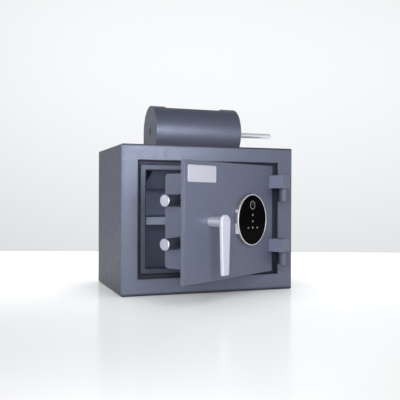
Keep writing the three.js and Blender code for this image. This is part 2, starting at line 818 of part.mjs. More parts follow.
// Guide plate: two bored holes hold the bolts square to the door edge.
function boltGuide() {
  const y0 = frontY + doorT + seatGap;
  const y1 = frontY + guideReach;
  const z0 = boltHeights[1] - guideOver;
  const z1 = boltHeights[0] + guideOver;
  let guide = box(guideX0, y0, z0, guideX0 + guideT, y1, z1);
  guide = guide.add(box(guideX0, y0, z0, guideX0 + guideFoot - guideT, y0 + guideT, z1));
  for (const z of boltHeights) {
    guide = guide.subtract(rod(boltR + slotClear, 'x',
      [guideX0 - overrun, frontY + boltDepth, z], guideT + 2 * overrun));
    guide = guide.subtract(rod(boltR + slotClear, 'x',
      [guideX0 + guideT, frontY + boltDepth, z], guideFoot));
  }
  return guide;
}

// Dead bar on the hinge side; it slides in behind the frame as the door shuts.
function deadBar() {
  const y0 = frontY + doorT + seatGap;
  const outline = polyShape([
    [deadX0 - deadFootW + deadLeg, y0], [deadX0 + deadLeg, y0],
    [deadX0 + deadLeg, frontY + deadFront], [deadTip, frontY + deadFront],
    [deadTip, frontY + deadFront + deadT], [deadX0, frontY + deadFront + deadT],
    [deadX0, y0 + deadFootT], [deadX0 - deadFootW + deadLeg, y0 + deadFootT],
  ]);
  return alongZ(outline, doorMidZ - deadHalf, 2 * deadHalf);
}

// Round lock: a metal cup with a rolled rim, and a glass face inside it.
function lockHousing() {
  const depth = lockT - seatGap;
  const profile = [
    [0, 0], [lockR, 0], [lockR, depth - rimRound], [lockR - rimRound, depth],
    [lockR - rimW, depth], [lockR - rimW, depth - glassT], [0, depth - glassT],
  ];
  const cup = turned(profile, 'y', [0, 0, 0], roundSteps + smallSteps);
  const bore = rod(cableHoleR, 'y', [0, -overrun, 0], depth + 2 * overrun, smallSteps);
  const piece = cup.subtract(bore).rotate([180, 0, 0]);
  return piece.translate([lockX, frontY - seatGap, lockZ]);
}

function lockGlass() {
  const y0 = frontY - lockT + glassT - seatGap;
  const r = lockR - rimW - seatGap;
  const disc = rod(r, 'y', [0, 0, 0], glassT - glassSink, roundSteps + smallSteps);
  return disc.rotate([180, 0, 0]).translate([lockX, y0, lockZ]);
}

// Driver with its plunger above the carriage, and a cell holder.
function buildLockWorks(door, plunger) {
  const y0 = frontY + driverFront;
  const midY = frontY + boltDepth;
  let driver = box(driverX0, y0, driverZ0, driverX1, y0 + driverD, driverZ0 + driverH);
  driver = driver.subtract(rod(plungerR + plungerClear, 'z',
    [plungerX, midY, driverZ0 - overrun], driverH, smallSteps));
  const foot = box(driverX0, frontY + doorT + seatGap, driverZ0,
    driverX1, y0, driverZ0 + caseWall);
  placeMesh(door, 'lock_driver', driver.add(foot), darkSteel);
  const low = driverZ0 - plungerBelow;
  placeMesh(plunger, 'lock_plunger',
    rod(plungerR, 'z', [plungerX, midY, low], plungerLong, smallSteps), steel);
  buildCells(door);
}

function buildCells(door) {
  const y1 = frontY + caseDepth - caseWall - seatGap;
  const y0 = y1 - holderD;
  const x0 = lidX - holderW / 2;
  const z0 = lockZ - holderH / 2;
  let tray = box(x0, y0, z0, x0 + holderW, y1, z0 + holderH);
  tray = tray.subtract(box(x0 + holderWall, y0 + holderWall, z0 + holderWall,
    x0 + holderW - holderWall, y1 + overrun, z0 + holderH - holderWall));
  const foot = box(lidX - holderFootW / 2, frontY + doorT + seatGap, z0 - holderWall,
    lidX + holderFootW / 2, y0, z0 + holderWall);
  placeMesh(door, 'cell_holder', tray.add(foot), plasticLook);
  const first = lockZ - (cellPitch * (cellCount - 1)) / 2;
  for (let i = 0; i < cellCount; i += 1) {
    const at = [lidX - cellLong / 2, y0 + holderWall + cellR + seatGap, first + i * cellPitch];
    placeMesh(door, `cell_${i + 1}`, rod(cellR, 'x', at, cellLong, smallSteps), cellLook);
  }
}

// Cable from the back of the lock, down through the door, up to the driver.
function lockCable() {
  const lockRear = frontY - lockT + 2 * glassT;
  const midY = frontY + driverFront + cableHoleR;
  const midZ = driverZ0 + driverH / 2;
  const pts = [
    [lockX, lockRear, lockZ], [lockX, frontY + doorT, lockZ],
    [lockX - cableHoleR, frontY + doorT + cableHoleR, lockZ + cableHoleR],
    [driverX1 + driverW / 2, midY - cableHoleR, driverZ0 - cableHoleR],
    [driverX1 + cableHoleR, midY, midZ], [driverX1 + seatGap, midY, midZ],
  ].map((p) => new THREE.Vector3(...p));
  const path = new THREE.CatmullRomCurve3(pts, false, 'centripetal');
  const circle = new THREE.Shape();
  circle.absarc(0, 0, cableR, 0, 2 * Math.PI, false);
  return solidOf(new THREE.ExtrudeGeometry(circle, {
    steps: smallSteps, curveSegments: cornerSteps, extrudePath: path,
  }));
}

function namePlate() {
  const outline = rectShape(plateX0, plateZ0, plateX0 + plateW, plateZ0 + plateH, plateR);
  return alongY(outline, frontY - plateT - seatGap, plateT, 0, cornerSteps);
}

function buildDoor(door) {
  placeMesh(door, 'door_plate', doorPlate(), paint);
  placeMesh(door, 'name_plate', namePlate(), satin);
  placeMesh(door, 'lock_housing', lockHousing(), chrome);
  placeMesh(door, 'lock_glass', lockGlass(), glassLook);
  placeMesh(door, 'bolt_case', boltCase(), paint);
  placeMesh(door, 'battery_lid', batteryLid(), plasticLook);
  placeMesh(door, 'bolt_guide', boltGuide(), zinc);
  placeMesh(door, 'dead_bar', deadBar(), paint);
  placeMesh(door, 'lock_cable', lockCable(), plasticLook);
  for (const [name, joint] of Object.entries(hingeJoints)) {
    placeMesh(door, `hinge_block_${name}`, hingeBlock(joint), paint);
  }
  const y0 = frontY + doorT + 2 * seatGap + caseWall;
  const rows = [caseZ1 + caseFlange / 2, caseZ0 - caseFlange / 2];
  let count = 0;
  const head = [[0, 0], [screwR, 0], [screwR * screwTopShare, screwT], [0, screwT]];
  for (const z of rows) {
    for (const x of [caseX0 + screwIn, caseX1 - screwIn]) {
      count += 1;
      placeMesh(door, `case_screw_${count}`, turned(head, 'y', [x, y0, z], screwSides), zinc);
    }
  }
  for (const [i, z] of postHeights.entries()) {
    placeMesh(door, `guide_post_${i + 1}`, guidePost(z), steel);
  }
}

// Shouldered post: foot on the door, shank in the carriage slot, wide head.
function guidePost(z) {
  const foot = frontY + doorT + seatGap;
  const carriage0 = boltDepth - carriageT / 2 - carriageLift;
  const carriage1 = boltDepth + carriageT / 2 + carriageLift;
  const toFoot = carriage0 - doorT - seatGap;
  const toHead = carriage1 - doorT - seatGap;
  const profile = [
    [0, 0], [postFootR, 0], [postFootR, toFoot], [postR, toFoot], [postR, toHead],
    [postHeadR, toHead], [postHeadR, toHead + postHeadT], [0, toHead + postHeadT],
  ];
  return turned(profile, 'y', [postX, foot, z], smallSteps);
}

// Lever in one piece with its spindle; the rest of the handle is the crank.
function lever() {
  const face = frontY - leverOut - leverT;
  const half = leverTipW / 2;
  const tipZ = handleZ - leverReach;
  const outline = new THREE.Shape();
  outline.moveTo(handleX - half + leverCorner, tipZ);
  outline.lineTo(handleX + half - leverCorner, tipZ);
  outline.lineTo(handleX + half, tipZ + leverCorner);
  outline.lineTo(handleX + leverHeadR, handleZ);
  outline.absarc(handleX, handleZ, leverHeadR, 0, Math.PI, false);
  outline.lineTo(handleX - half, tipZ + leverCorner);
  outline.closePath();
  const blade = alongY(outline, face, leverT, edgeRound);
  const shaftLong = leverOut + overrun + crankDepth + crankT;
  const shaft = rod(spindleR, 'y', [handleX, frontY - leverOut - overrun, handleZ], shaftLong);
  return blade.add(shaft);
}

// Crank: a plate on the spindle's end with a pin that reaches the slot.
function crank() {
  const y0 = frontY + crankDepth;
  const a = deg(crankRestDeg);
  const px = handleX + crankR * Math.cos(a);
  const pz = handleZ + crankR * Math.sin(a);
  const hub = rod(crankHubR, 'y', [handleX, y0, handleZ], crankT);
  const eye = rod(crankEyeR, 'y', [px, y0, pz], crankT, smallSteps);
  const arm = new THREE.BoxGeometry(crankR, crankT, 2 * crankEyeR);
  arm.translate(crankR / 2, 0, 0).rotateY(-a).translate(handleX, y0 + crankT / 2, handleZ);
  const pin = rod(crankPinR, 'y', [px, y0, pz], crankT + crankPinLong, smallSteps);
  const plate = hub.add(eye).add(solidOf(arm)).add(pin);
  return plate.subtract(rod(spindleR + seatGap, 'y', [handleX, y0 - overrun, handleZ],
    crankT + 2 * overrun));
}

// Outline of the carriage, with the recess and the ramped lug on its top edge.
function carriageOutline() {
  const shape = new THREE.Shape();
  shape.moveTo(carriageX0, carriageZ0);
  shape.lineTo(carriageX1, carriageZ0);
  shape.lineTo(carriageX1, carriageZ1);
  shape.lineTo(recessX1 + lugH, carriageZ1);
  shape.lineTo(recessX1, carriageZ1 - lugH);
  shape.lineTo(recessX0, carriageZ1 - lugH);
  shape.lineTo(recessX0, carriageZ1);
  shape.lineTo(carriageX0 + carriageCorner, carriageZ1);
  shape.absarc(carriageX0 + carriageCorner, carriageZ1 - carriageCorner, carriageCorner,
    Math.PI / 2, Math.PI, false);
  shape.closePath();
  return shape;
}

// Carriage: a slot across for the crank pin, two along for the posts.
function carriage() {
  const y0 = frontY + boltDepth - carriageT / 2;
  const outer = carriageOutline();
  const a = deg(crankRestDeg);
  const slotX = handleX + crankR * Math.cos(a);
  const half = crankSlotW / 2;
  const slotLow = handleZ + crankR * Math.sin(a) - crankPinR - crankSlotOver;
  const slotHigh = handleZ + crankR + crankPinR + crankSlotOver;
  const cross = new THREE.Path();
  rectShape(slotX - half, slotLow, slotX + half, slotHigh, half - slotClear, cross);
  outer.holes.push(cross);
  for (const z of postHeights) {
    const rim = postR + slotClear;
    const along = new THREE.Path();
    rectShape(postX - stroke - rim - slotEnd, z - rim, postX + rim + slotEnd, z + rim,
      rim - slotClear, along);
    outer.holes.push(along);
  }
  return alongY(outer, y0, carriageT, 0, cornerSteps);
}

function boltBar(z) {
  const length = carriageX0 - seatGap - boltTip;
  const profile = [
    [0, 0], [boltR - boltChamfer, 0], [boltR, boltChamfer], [boltR, length], [0, length],
  ];
  return turned(profile, 'x', [boltTip, frontY + boltDepth, z]);
}

function buildBoltWork(handle, bolts) {
  placeMesh(handle, 'handle_lever', lever(), satin);
  placeMesh(handle, 'handle_crank', crank(), steel);
  placeMesh(bolts, 'bolt_carriage', carriage(), zinc);
  placeMesh(bolts, 'bolt_upper', boltBar(boltHeights[0]), satin);
  placeMesh(bolts, 'bolt_lower', boltBar(boltHeights[1]), satin);
}

function namedGroup(name, parent) {
  const group = new THREE.Group();
  group.name = name;
  parent.add(group);
  return group;
}

const safe = new THREE.Group();
safe.name = 'drop_safe';
const fixed = namedGroup('safe_body', safe);
const rotorGroup = namedGroup('rotor', safe);
buildBody(fixed);
buildShelf(fixed);
buildDrum(fixed, rotorGroup);
buildChute(fixed);

// The door and all it carries turn together about the hinge line.
const hingeLine = namedGroup('door_at_hinge', safe);
hingeLine.position.set(hingeX, hingeY, 0);
hingeLine.rotation.z = deg(doorOpenDeg);
const doorGroup = namedGroup('door', hingeLine);
doorGroup.position.set(-hingeX, -hingeY, 0);
const handleGroup = namedGroup('handle', doorGroup);
const boltGroup = namedGroup('bolts', doorGroup);
const plungerGroup = namedGroup('plunger', doorGroup);
buildDoor(doorGroup);
buildLockWorks(doorGroup, plungerGroup);
buildBoltWork(handleGroup, boltGroup);

export default safe;
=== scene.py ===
# %% [markdown]
# # A drop safe with a rotary drum, dressed for its portrait
#
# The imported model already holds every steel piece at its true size. This
# lesson starts from that model and gives it what a photograph shows: a camera
# in the right place, lamps, paint with a grain, satin metals, weld beads,
# screw heads and the marks on the lock's glass. Lengths are in metres, and in
# millimetres only where a piece of the door is drawn on the shut door.

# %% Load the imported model
import json
import math

import bpy
import numpy as np
from mathutils import Matrix, Vector


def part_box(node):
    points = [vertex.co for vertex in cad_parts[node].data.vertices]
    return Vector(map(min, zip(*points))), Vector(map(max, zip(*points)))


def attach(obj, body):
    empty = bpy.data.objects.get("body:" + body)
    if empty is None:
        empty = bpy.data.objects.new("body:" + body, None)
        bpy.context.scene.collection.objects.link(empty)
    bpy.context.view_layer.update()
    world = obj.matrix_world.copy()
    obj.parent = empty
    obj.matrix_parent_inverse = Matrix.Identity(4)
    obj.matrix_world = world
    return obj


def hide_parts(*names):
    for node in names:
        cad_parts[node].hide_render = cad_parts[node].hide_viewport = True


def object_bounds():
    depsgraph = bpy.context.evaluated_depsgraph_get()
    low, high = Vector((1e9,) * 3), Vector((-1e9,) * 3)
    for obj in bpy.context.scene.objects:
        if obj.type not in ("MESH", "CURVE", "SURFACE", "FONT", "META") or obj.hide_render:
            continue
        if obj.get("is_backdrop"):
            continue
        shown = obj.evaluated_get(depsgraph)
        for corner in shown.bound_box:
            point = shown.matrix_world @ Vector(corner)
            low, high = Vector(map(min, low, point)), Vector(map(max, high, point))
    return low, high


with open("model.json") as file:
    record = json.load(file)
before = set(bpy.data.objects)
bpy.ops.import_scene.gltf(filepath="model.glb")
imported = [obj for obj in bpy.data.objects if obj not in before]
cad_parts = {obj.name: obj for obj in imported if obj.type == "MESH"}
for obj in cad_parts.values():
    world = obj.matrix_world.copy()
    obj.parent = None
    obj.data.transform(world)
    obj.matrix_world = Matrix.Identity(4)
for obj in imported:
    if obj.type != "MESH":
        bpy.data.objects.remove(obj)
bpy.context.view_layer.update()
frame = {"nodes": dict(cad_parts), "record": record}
nodes = frame["nodes"]
MM = 0.001

# %% [markdown]
# ## The camera
#
# The photograph was matched: the safe's corners give the camera's
# place, its turn to the right, a slight dip and a slight tilt. A camera looks
# along its own -Z with +Y up, so its matrix is built from three directions:
# right, up and backwards. The lens is written for a square picture.

# %% Camera
EYE = Vector((-0.4468, -1.3127, 0.1973))
TURN = math.radians(19.586)
DIP = math.radians(-0.339)
TILT = math.radians(0.232)
LENS_MM = 55.92
SENSOR_MM = 36.0
CLIP_NEAR, CLIP_FAR = 0.01, 50.0


def camera_matrix(eye, turn, dip, tilt):
    """Columns are right, up and backwards. Forward is the turned +Y, dipped;
    right is level and square to it; the tilt turns right and up together."""
    forward = Vector((math.sin(turn) * math.cos(dip),
                      math.cos(turn) * math.cos(dip), math.sin(dip)))
    level = Vector((math.cos(turn), -math.sin(turn), 0.0))
    over = level.cross(forward)
    right = level * math.cos(tilt) + over * math.sin(tilt)
    up = over * math.cos(tilt) - level * math.sin(tilt)
    turned_axes = Matrix((right, up, -forward)).transposed()
    return Matrix.Translation(eye) @ turned_axes.to_4x4()


lens = bpy.data.cameras.new("portrait_lens")
lens.sensor_width = SENSOR_MM
lens.lens = LENS_MM
lens.clip_start = CLIP_NEAR
lens.clip_end = CLIP_FAR
camera = bpy.data.objects.new("portrait_camera", lens)
camera.matrix_world = camera_matrix(EYE, TURN, DIP, TILT)
bpy.context.collection.objects.link(camera)
bpy.context.scene.camera = camera
bpy.context.scene.view_settings.view_transform = "Standard"
print("camera at", EYE[:], "looking", math.degrees(TURN), "degrees to the right")

# %% [markdown]
# ## Directions on the open door
#
# The door stands open by 32.4 degrees, and everything on it is turned with
# it. Pieces for the door are drawn as if it were shut, in millimetres, and
# then turned about the hinge line. Two directions of the open door are kept
# for its finishes: across its width, and from its face into its thickness.
# Shapes on the door are moved by one matrix, and measured by its inverse.

# %% The door's own frame
DOOR_OPEN = math.radians(32.4)
HINGE = Vector((0.1558, -0.144, 0.0))
OPEN_DOOR = (Matrix.Translation(HINGE) @ Matrix.Rotation(DOOR_OPEN, 4, "Z")
             @ Matrix.Translation(-HINGE))
ACROSS_DOOR = (math.cos(DOOR_OPEN), math.sin(DOOR_OPEN), 0.0)
INTO_DOOR = (-math.sin(DOOR_OPEN), math.cos(DOOR_OPEN), 0.0)
UPWARDS = (0.0, 0.0, 1.0)


def moved(points, matrix):
    """Every point times the matrix's turn, plus its shift."""
    return np.asarray(points, float) @ np.array(matrix.to_3x3()).T + np.array(matrix.translation)


def opened(points_mm):
    """Points of the shut door in millimetres, turned with it, in metres."""
    return moved(np.asarray(points_mm, float) * MM, OPEN_DOOR)


def shut(points_m):
    """Points on the open door, back where they lie on the shut one, in mm."""
    return moved(points_m, OPEN_DOOR.inverted()) / MM


def corners_of(name):
    """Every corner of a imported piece, in metres."""
    mesh = nodes[name].data
    flat = np.zeros(len(mesh.vertices) * 3)
    mesh.vertices.foreach_get("co", flat)
    return flat.reshape(-1, 3)


def front_of(name):
    """The depth at which a piece on the door begins: its least y when shut."""
    return shut(corners_of(name))[:, 1].min()


print("the door's width runs along", ACROSS_DOOR)

# %% [markdown]
# ## Small helpers for finishes
#
# Every finish is a node graph: textures feed the colour, the roughness and
# the bump of one shader. Writing each link by hand is long, so one function
# adds a node and sets its inputs, and short ones do what comes back in every
# finish. Textures read Object coordinates, because each piece's place is in
# its mesh and the pattern then keeps its real size on every piece.

# %% Finish helpers
def add_node(tree, kind, settings=None, inputs=None):
    """A new node; settings are its properties, inputs its socket values."""
    made = tree.nodes.new(kind)
    for key, value in (settings or {}).items():
        setattr(made, key, value)
    for key, value in (inputs or {}).items():
        if isinstance(value, bpy.types.NodeSocket):
            tree.links.new(value, made.inputs[key])
        else:
            made.inputs[key].default_value = value
    return made


def change(tree, value, ends, levels, shape="SMOOTHSTEP"):
    """Between its two ends the value goes from one level to the other,
    smoothly as 3t^2 - 2t^3 or in a straight line, and is level outside."""
    return add_node(tree, "ShaderNodeMapRange", {"interpolation_type": shape},
                    {"Value": value, "From Min": ends[0], "From Max": ends[1],
                     "To Min": levels[0], "To Max": levels[1]}).outputs[0]


def feed(tree, output, name):
    """Link an output to the shader's input of that name."""
    tree.links.new(output, tree.nodes["Principled BSDF"].inputs[name])


def start_finish(name, **constants):
    """A material with its shader's plain sockets set once, by name."""
    finish = bpy.data.materials.new(name)
    finish.use_nodes = True
    shader = finish.node_tree.nodes["Principled BSDF"]
    for key, value in constants.items():
        shader.inputs[key.replace("_", " ")].default_value = value
    return finish, finish.node_tree


def object_place(tree):
    """The place of a point of the piece, in metres."""
    return add_node(tree, "ShaderNodeTexCoord").outputs["Object"]


print("finish helpers ready")

# %% [markdown]
# ## Noise that colours, roughens and bumps
#
# Three habits of real surfaces come back in each finish. The colour drifts a
# few percent over a hand's width. The gloss is uneven at a smaller size. The
# surface itself has a grain, which is bump: it bends the light and leaves the
# outline alone, so it suits anything finer than the eye can trace at arm's
# length. Each habit is one noise texture and one line here. A noise hardly
# leaves the range from 0.3 to 0.7, so that range is stretched for the gloss.

# %% Drift, uneven gloss and grain
NOISE_ENDS = (0.3, 0.7)
ROUGH_DETAIL = 3.0
FINE_DETAIL = 2.0


def noise(tree, place, scale, detail=FINE_DETAIL):
    """Smooth noise of the place; scale is how many bumps go into a metre."""
    return add_node(tree, "ShaderNodeTexNoise",
                    inputs={"Vector": place, "Scale": scale, "Detail": detail}).outputs["Fac"]


def recolour(tree, factor, at_0=None, at_1=None):
    """The colour is at_0 (1 - factor) + at_1 factor. The one that is left
    out is the colour that the finish had before."""
    base = tree.nodes["Principled BSDF"].inputs["Base Color"]
    before = base.links[0].from_socket if base.links else None
    mixed = add_node(tree, "ShaderNodeMix", {"data_type": "RGBA"},
                     {0: factor, "A": at_0 or before, "B": at_1 or before})
    feed(tree, mixed.outputs[2], "Base Color")


def drifting_finish(name, colour, drift, **constants):
    """A finish whose colour drifts between 1 - amount and 1 + amount times
    itself, with its node tree and the place that its textures read."""
    finish, tree = start_finish(name, **constants)
    place = object_place(tree)
    scale, amount = drift
    dark = tuple(c * (1.0 - amount) for c in colour[:3]) + (1.0,)
    light = tuple(min(1.0, c * (1.0 + amount)) for c in colour[:3]) + (1.0,)
    recolour(tree, noise(tree, place, scale, ROUGH_DETAIL), dark, light)
    return finish, tree, place


def uneven_gloss(tree, place, scale, rough):
    """Roughness that wanders between its two values."""
    fac = noise(tree, place, scale, ROUGH_DETAIL)
    feed(tree, change(tree, fac, NOISE_ENDS, rough, "LINEAR"), "Roughness")


def grain(tree, height, depth):
    """A height from 0 to 1 becomes relief that is depth deep."""
    relief = add_node(tree, "ShaderNodeBump", inputs={"Height": height, "Distance": depth})
    feed(tree, relief.outputs["Normal"], "Normal")


print("noise helpers ready")

# %% [markdown]
# ## Where shade is painted into the paint
#
# The lower edge of the front is darkened with painted shade, the fold along its
# top carries a painted dark shade line, and the sides are darker low down, as
# painted shade against the light that the floor throws up. Each of the three is
# a smooth step in height that gives the unshaded share of the paint, and the
# shares are multiplied. Inside the box the colour is another, lighter one,
# painted light that brightens the interior, so a point has to know whether it is
# inside.

# %% Painted shade at foot, fold and sides, and painted light inside
# Painted shade: the colour that the paint darkens towards at the foot, the top fold and the low
# sides.
PAINTED_SHADE = (0.004, 0.005, 0.009, 1.0)
FRONT_EDGE_Y = -0.1195
FOOT_ENDS, FOOT_SHARES = (0.0, 0.0075), (0.08, 1.0)
CREST_ENDS, CREST_SHARES = (0.2964, 0.2982), (1.0, 0.2)
SIDE_ENDS, SIDE_SHARES = (0.0, 0.12), (0.57, 1.0)
INNER_SPACE_MIDDLE = (0.0, 0.0, 0.15)
INNER_SPACE_HALF = (0.1828, 0.1185, 0.1473)


def calculate(tree, operation, first, second=0.0):
    """The outcome of one sum with two numbers, such as MULTIPLY or MAXIMUM."""
    return add_node(tree, "ShaderNodeMath", {"operation": operation},
                    {0: first, 1: second}).outputs[0]


def unshaded_share(tree, height, ends, shares, spared):
    """A smooth step in height between two shares; 1 where it is spared."""
    return calculate(tree, "MAXIMUM", change(tree, height, ends, shares), spared)


def shade_edges(tree, place):
    """Unshaded share = foot x crest x side; the rest is painted shade. Foot and
    crest spare what lies behind the front's edge, side spares what lies before it."""
    parts = add_node(tree, "ShaderNodeSeparateXYZ", inputs={"Vector": place})
    height = parts.outputs["Z"]
    behind = calculate(tree, "GREATER_THAN", parts.outputs["Y"], FRONT_EDGE_Y)
    before = calculate(tree, "SUBTRACT", 1.0, behind)
    foot = unshaded_share(tree, height, FOOT_ENDS, FOOT_SHARES, behind)
    crest = unshaded_share(tree, height, CREST_ENDS, CREST_SHARES, behind)
    side = unshaded_share(tree, height, SIDE_ENDS, SIDE_SHARES, before)
    share = calculate(tree, "MULTIPLY", foot, crest)
    recolour(tree, calculate(tree, "MULTIPLY", share, side), at_0=PAINTED_SHADE)


def paint_light_inside(tree, place, inner_colour):
    """A point is inside where its distance from the middle is less than half
    the space on each axis; there it takes the lighter inside colour, painted light."""
    away = add_node(tree, "ShaderNodeVectorMath", {"operation": "SUBTRACT"},
                    {0: place, 1: INNER_SPACE_MIDDLE})
    far = add_node(tree, "ShaderNodeVectorMath", {"operation": "ABSOLUTE"},
                   {0: away.outputs[0]})
    parts = add_node(tree, "ShaderNodeSeparateXYZ", inputs={"Vector": far.outputs[0]})
    x, y, z = (calculate(tree, "LESS_THAN", parts.outputs[axis], half)
               for axis, half in zip("XYZ", INNER_SPACE_HALF))
    within = calculate(tree, "MULTIPLY", calculate(tree, "MULTIPLY", x, y), z)
    recolour(tree, within, at_1=inner_colour)


# How high the painted shade reaches, in front and at the sides.
print("paint is dusty up to", FOOT_ENDS[1], "in front and", SIDE_ENDS[1], "at the sides")

# %% [markdown]
# ## Powder coat
#
# The safe is finished in grey-blue powder coat with metal flake: satin,
# slightly pebbled, brighter where it faces a lamp squarely. A plain diffuse
# paint would look like card, so the shader is part metallic. The pebble is a
# noise about a millimetre across. Each group of pieces has its own share of
# metal and its own gloss, matched to how it brightens in the picture. Some
# groups are also coloured lighter or darker than the outer coat: the inside,
# the shelf and the hinge blocks lighter, as painted light, and the jamb, the
# door stop and the hinge barrels darker, as painted shade.

# %% Powder coat
COAT_IOR = 1.45
COAT_DRIFT = (7.0, 0.05)
COAT_MOTTLE = 90.0
PEBBLE, PEBBLE_DEEP = 900.0, 0.00006


def srgb(red, green, blue):
    """A colour as a picture shows it, 0 to 255, as linear light."""
    share = np.array((red, green, blue)) / 255.0
    light = np.where(share < 0.04045, share / 12.92, ((share + 0.055) / 1.055) ** 2.4)
    return tuple(light) + (1.0,)


def powder_coat(name, colour, metal, rough, inner_colour=None):
    """Drifting paint with painted shade at its edges, painted light inside when an inner colour is
    given, mottled gloss and pebbled relief.
    """
    finish, tree, place = drifting_finish(name, colour, COAT_DRIFT, Metallic=metal,
                                          IOR=COAT_IOR)
    shade_edges(tree, place)
    if inner_colour:
        paint_light_inside(tree, place, inner_colour)
    uneven_gloss(tree, place, COAT_MOTTLE, rough)
    grain(tree, noise(tree, place, PEBBLE), PEBBLE_DEEP)
    return finish


GREY_BLUE = srgb(99, 105, 123)
# Painted light: the inside is coloured lighter than the outer coat so that the interior reads
# brighter.
INSIDE_PAINTED_LIGHT = srgb(135, 146, 175)
SATIN, SOFTER, SOFT, DULL = (0.36, 0.46), (0.42, 0.52), (0.44, 0.54), (0.52, 0.62)
body_paint = powder_coat("grey_blue_powder_coat", GREY_BLUE, 0.5, SATIN)
shell_paint = powder_coat("grey_blue_shell_coat", srgb(96, 101, 117), 0.35, SOFT, INSIDE_PAINTED_LIGHT)
inner_paint = powder_coat("painted_light_inner_coat", INSIDE_PAINTED_LIGHT, 0.3, SOFTER)
# Painted light: the shelf, baffle and chute are coloured lighter than the coat.
shelf_light_paint = powder_coat("painted_light_shelf_coat", srgb(176, 188, 210), 0.3, SOFTER)
# Painted shade: the jamb and the door stop are coloured darker than the coat.
jamb_shade_paint = powder_coat("painted_shade_jamb_coat", srgb(56, 61, 76), 0.2, (0.46, 0.56))
stop_shade_paint = powder_coat("door_stop_shade_coat", srgb(75, 81, 98), 0.5, SATIN)
# Painted light: the hinge blocks are coloured lighter than the coat.
block_light_paint = powder_coat("hinge_block_light_coat", srgb(112, 118, 138), 0.3, SOFT)
door_paint = powder_coat("grey_blue_door_coat", srgb(102, 108, 127), 0.36, (0.47, 0.57))
# Painted shade: the hinge barrels are coloured darker than the coat, with a duller gloss.
barrel_paint = powder_coat("hinge_barrel_coat", srgb(84, 89, 104), 0.2, DULL)
print("powder coats:", body_paint.name, shell_paint.name, inner_paint.name)

# %% [markdown]
# Along the door's free edge the colour is darkened: painted shade that keeps
# the rounding from glinting. Two distances are measured from the edge line, one
# across the door and one into its thickness, and the larger one decides.

# %% Painted shade along the free edge of the door
EDGE_ENDS, EDGE_SHARES = (0.0008, 0.0016), (0.5, 1.0)


def reach_along(tree, place, direction):
    """How far a place lies along a direction: their dot product."""
    return add_node(tree, "ShaderNodeVectorMath", {"operation": "DOT_PRODUCT"},
                    {0: place, 1: direction}).outputs["Value"]


def shade_free_edge(finish, corners):
    """The unshaded share is a smooth step in max(u - u0, v - v0), where u runs
    across the door, v into it, and u0 and v0 are the edge line's own; the rest
    is painted shade."""
    tree = finish.node_tree
    place = object_place(tree)
    u, v = (calculate(tree, "SUBTRACT", reach_along(tree, place, way),
                      float((corners @ np.array(way)).min()))
            for way in (ACROSS_DOOR, INTO_DOOR))
    larger = calculate(tree, "MAXIMUM", u, v)
    recolour(tree, change(tree, larger, EDGE_ENDS, EDGE_SHARES), at_0=PAINTED_SHADE)


shade_free_edge(door_paint, corners_of("door_plate"))
# The free edge now carries painted shade.
print("dulled the free edge of the door")

# %% [markdown]
# ## Brushed and turned steel
#
# The lever and the bare plate are brushed: fine scratches all run one way,
# down the lever and along the plate. The bolts are turned, so their scratches
# run round them, and on the lock's ring faint straight ones will do. Each
# time a noise is stretched: sampled densely across the scratches and sparsely
# along them. The place is measured along chosen directions with dot products,
# which works for a door that stands open.

# %% Brushed steel
DENSE, SPARSE = 2600.0, 60.0
STEEL_DRIFT = (30.0, 0.03)
BRUSHED_DEEP = 0.00001


def stretched_place(tree, place, dense_way, sparse_way):
    """X = place . dense way x 2600, Y = place . sparse way x 60."""
    x, y = (reach_along(tree, place, tuple(c * scale for c in way))
            for way, scale in ((dense_way, DENSE), (sparse_way, SPARSE)))
    return add_node(tree, "ShaderNodeCombineXYZ", inputs={"X": x, "Y": y}).outputs[0]


def brushed_steel(name, colour, ways, rough, metal, depth=BRUSHED_DEEP):
    """Drifting steel whose gloss and relief read the stretched place."""
    finish, tree, place = drifting_finish(name, colour, STEEL_DRIFT, Metallic=metal)
    scratches = stretched_place(tree, place, *ways)
    uneven_gloss(tree, scratches, 1.0, rough)
    grain(tree, noise(tree, scratches, 1.0), depth)
    return finish


UPRIGHT = (ACROSS_DOOR, UPWARDS)
LEVEL = (UPWARDS, ACROSS_DOOR)
lever_steel = brushed_steel("satin_lever_steel", srgb(194, 196, 210), UPRIGHT, (0.42, 0.52), 0.2)
plate_steel = brushed_steel("brushed_plate_steel", srgb(213, 214, 228), LEVEL, (0.32, 0.45), 0.6)
ring_steel = brushed_steel("turned_ring_steel", srgb(236, 236, 239), UPRIGHT, (0.3, 0.4), 0.7,
                           0.000004)
bolt_steel = brushed_steel("turned_bolt_steel", srgb(183, 185, 199), UPRIGHT, (0.36, 0.46), 0.8,
                           0.000006)
print("brushed steels made")

# %% [markdown]
# A bolt is hardened rod: its turned end is bright, and its shank is coloured
# dark as painted shade. One finish serves for both. How far a point lies along
# the door's width, from the tip, decides which colour it gets.

# %% Bolts with a painted-shade shank
TIP_DEEP = 0.0016
# Painted shade: the dark colour of the shank.
SHANK_SHADE = srgb(92, 96, 110)


def shade_shank(finish, way, tip, colour):
    """Behind the tip, by more than the end's depth, the colour is dark: painted shade."""
    tree = finish.node_tree
    reach = reach_along(tree, object_place(tree), way)
    recolour(tree, calculate(tree, "GREATER_THAN", reach, tip + TIP_DEEP), at_1=colour)


bolt_points = np.concatenate((corners_of("bolt_upper"), corners_of("bolt_lower")))
bolt_tip = float((bolt_points @ np.array(ACROSS_DOOR)).min())
shade_shank(bolt_steel, ACROSS_DOOR, bolt_tip, SHANK_SHADE)
print("bolt tips at", bolt_tip, "along the door")

# %% [markdown]
# ## Chrome, zinc, bronze and plain steel
#
# Small metal pieces get simpler graphs. The pull rod's chrome is satin, since
# a true mirror that thin would only flicker between wall and floor. Zinc
# plate has a soft crystal mottling, for which a Voronoi texture's cells are a
# fair stand-in. The bushes are bronze, dark with oil and finely open.

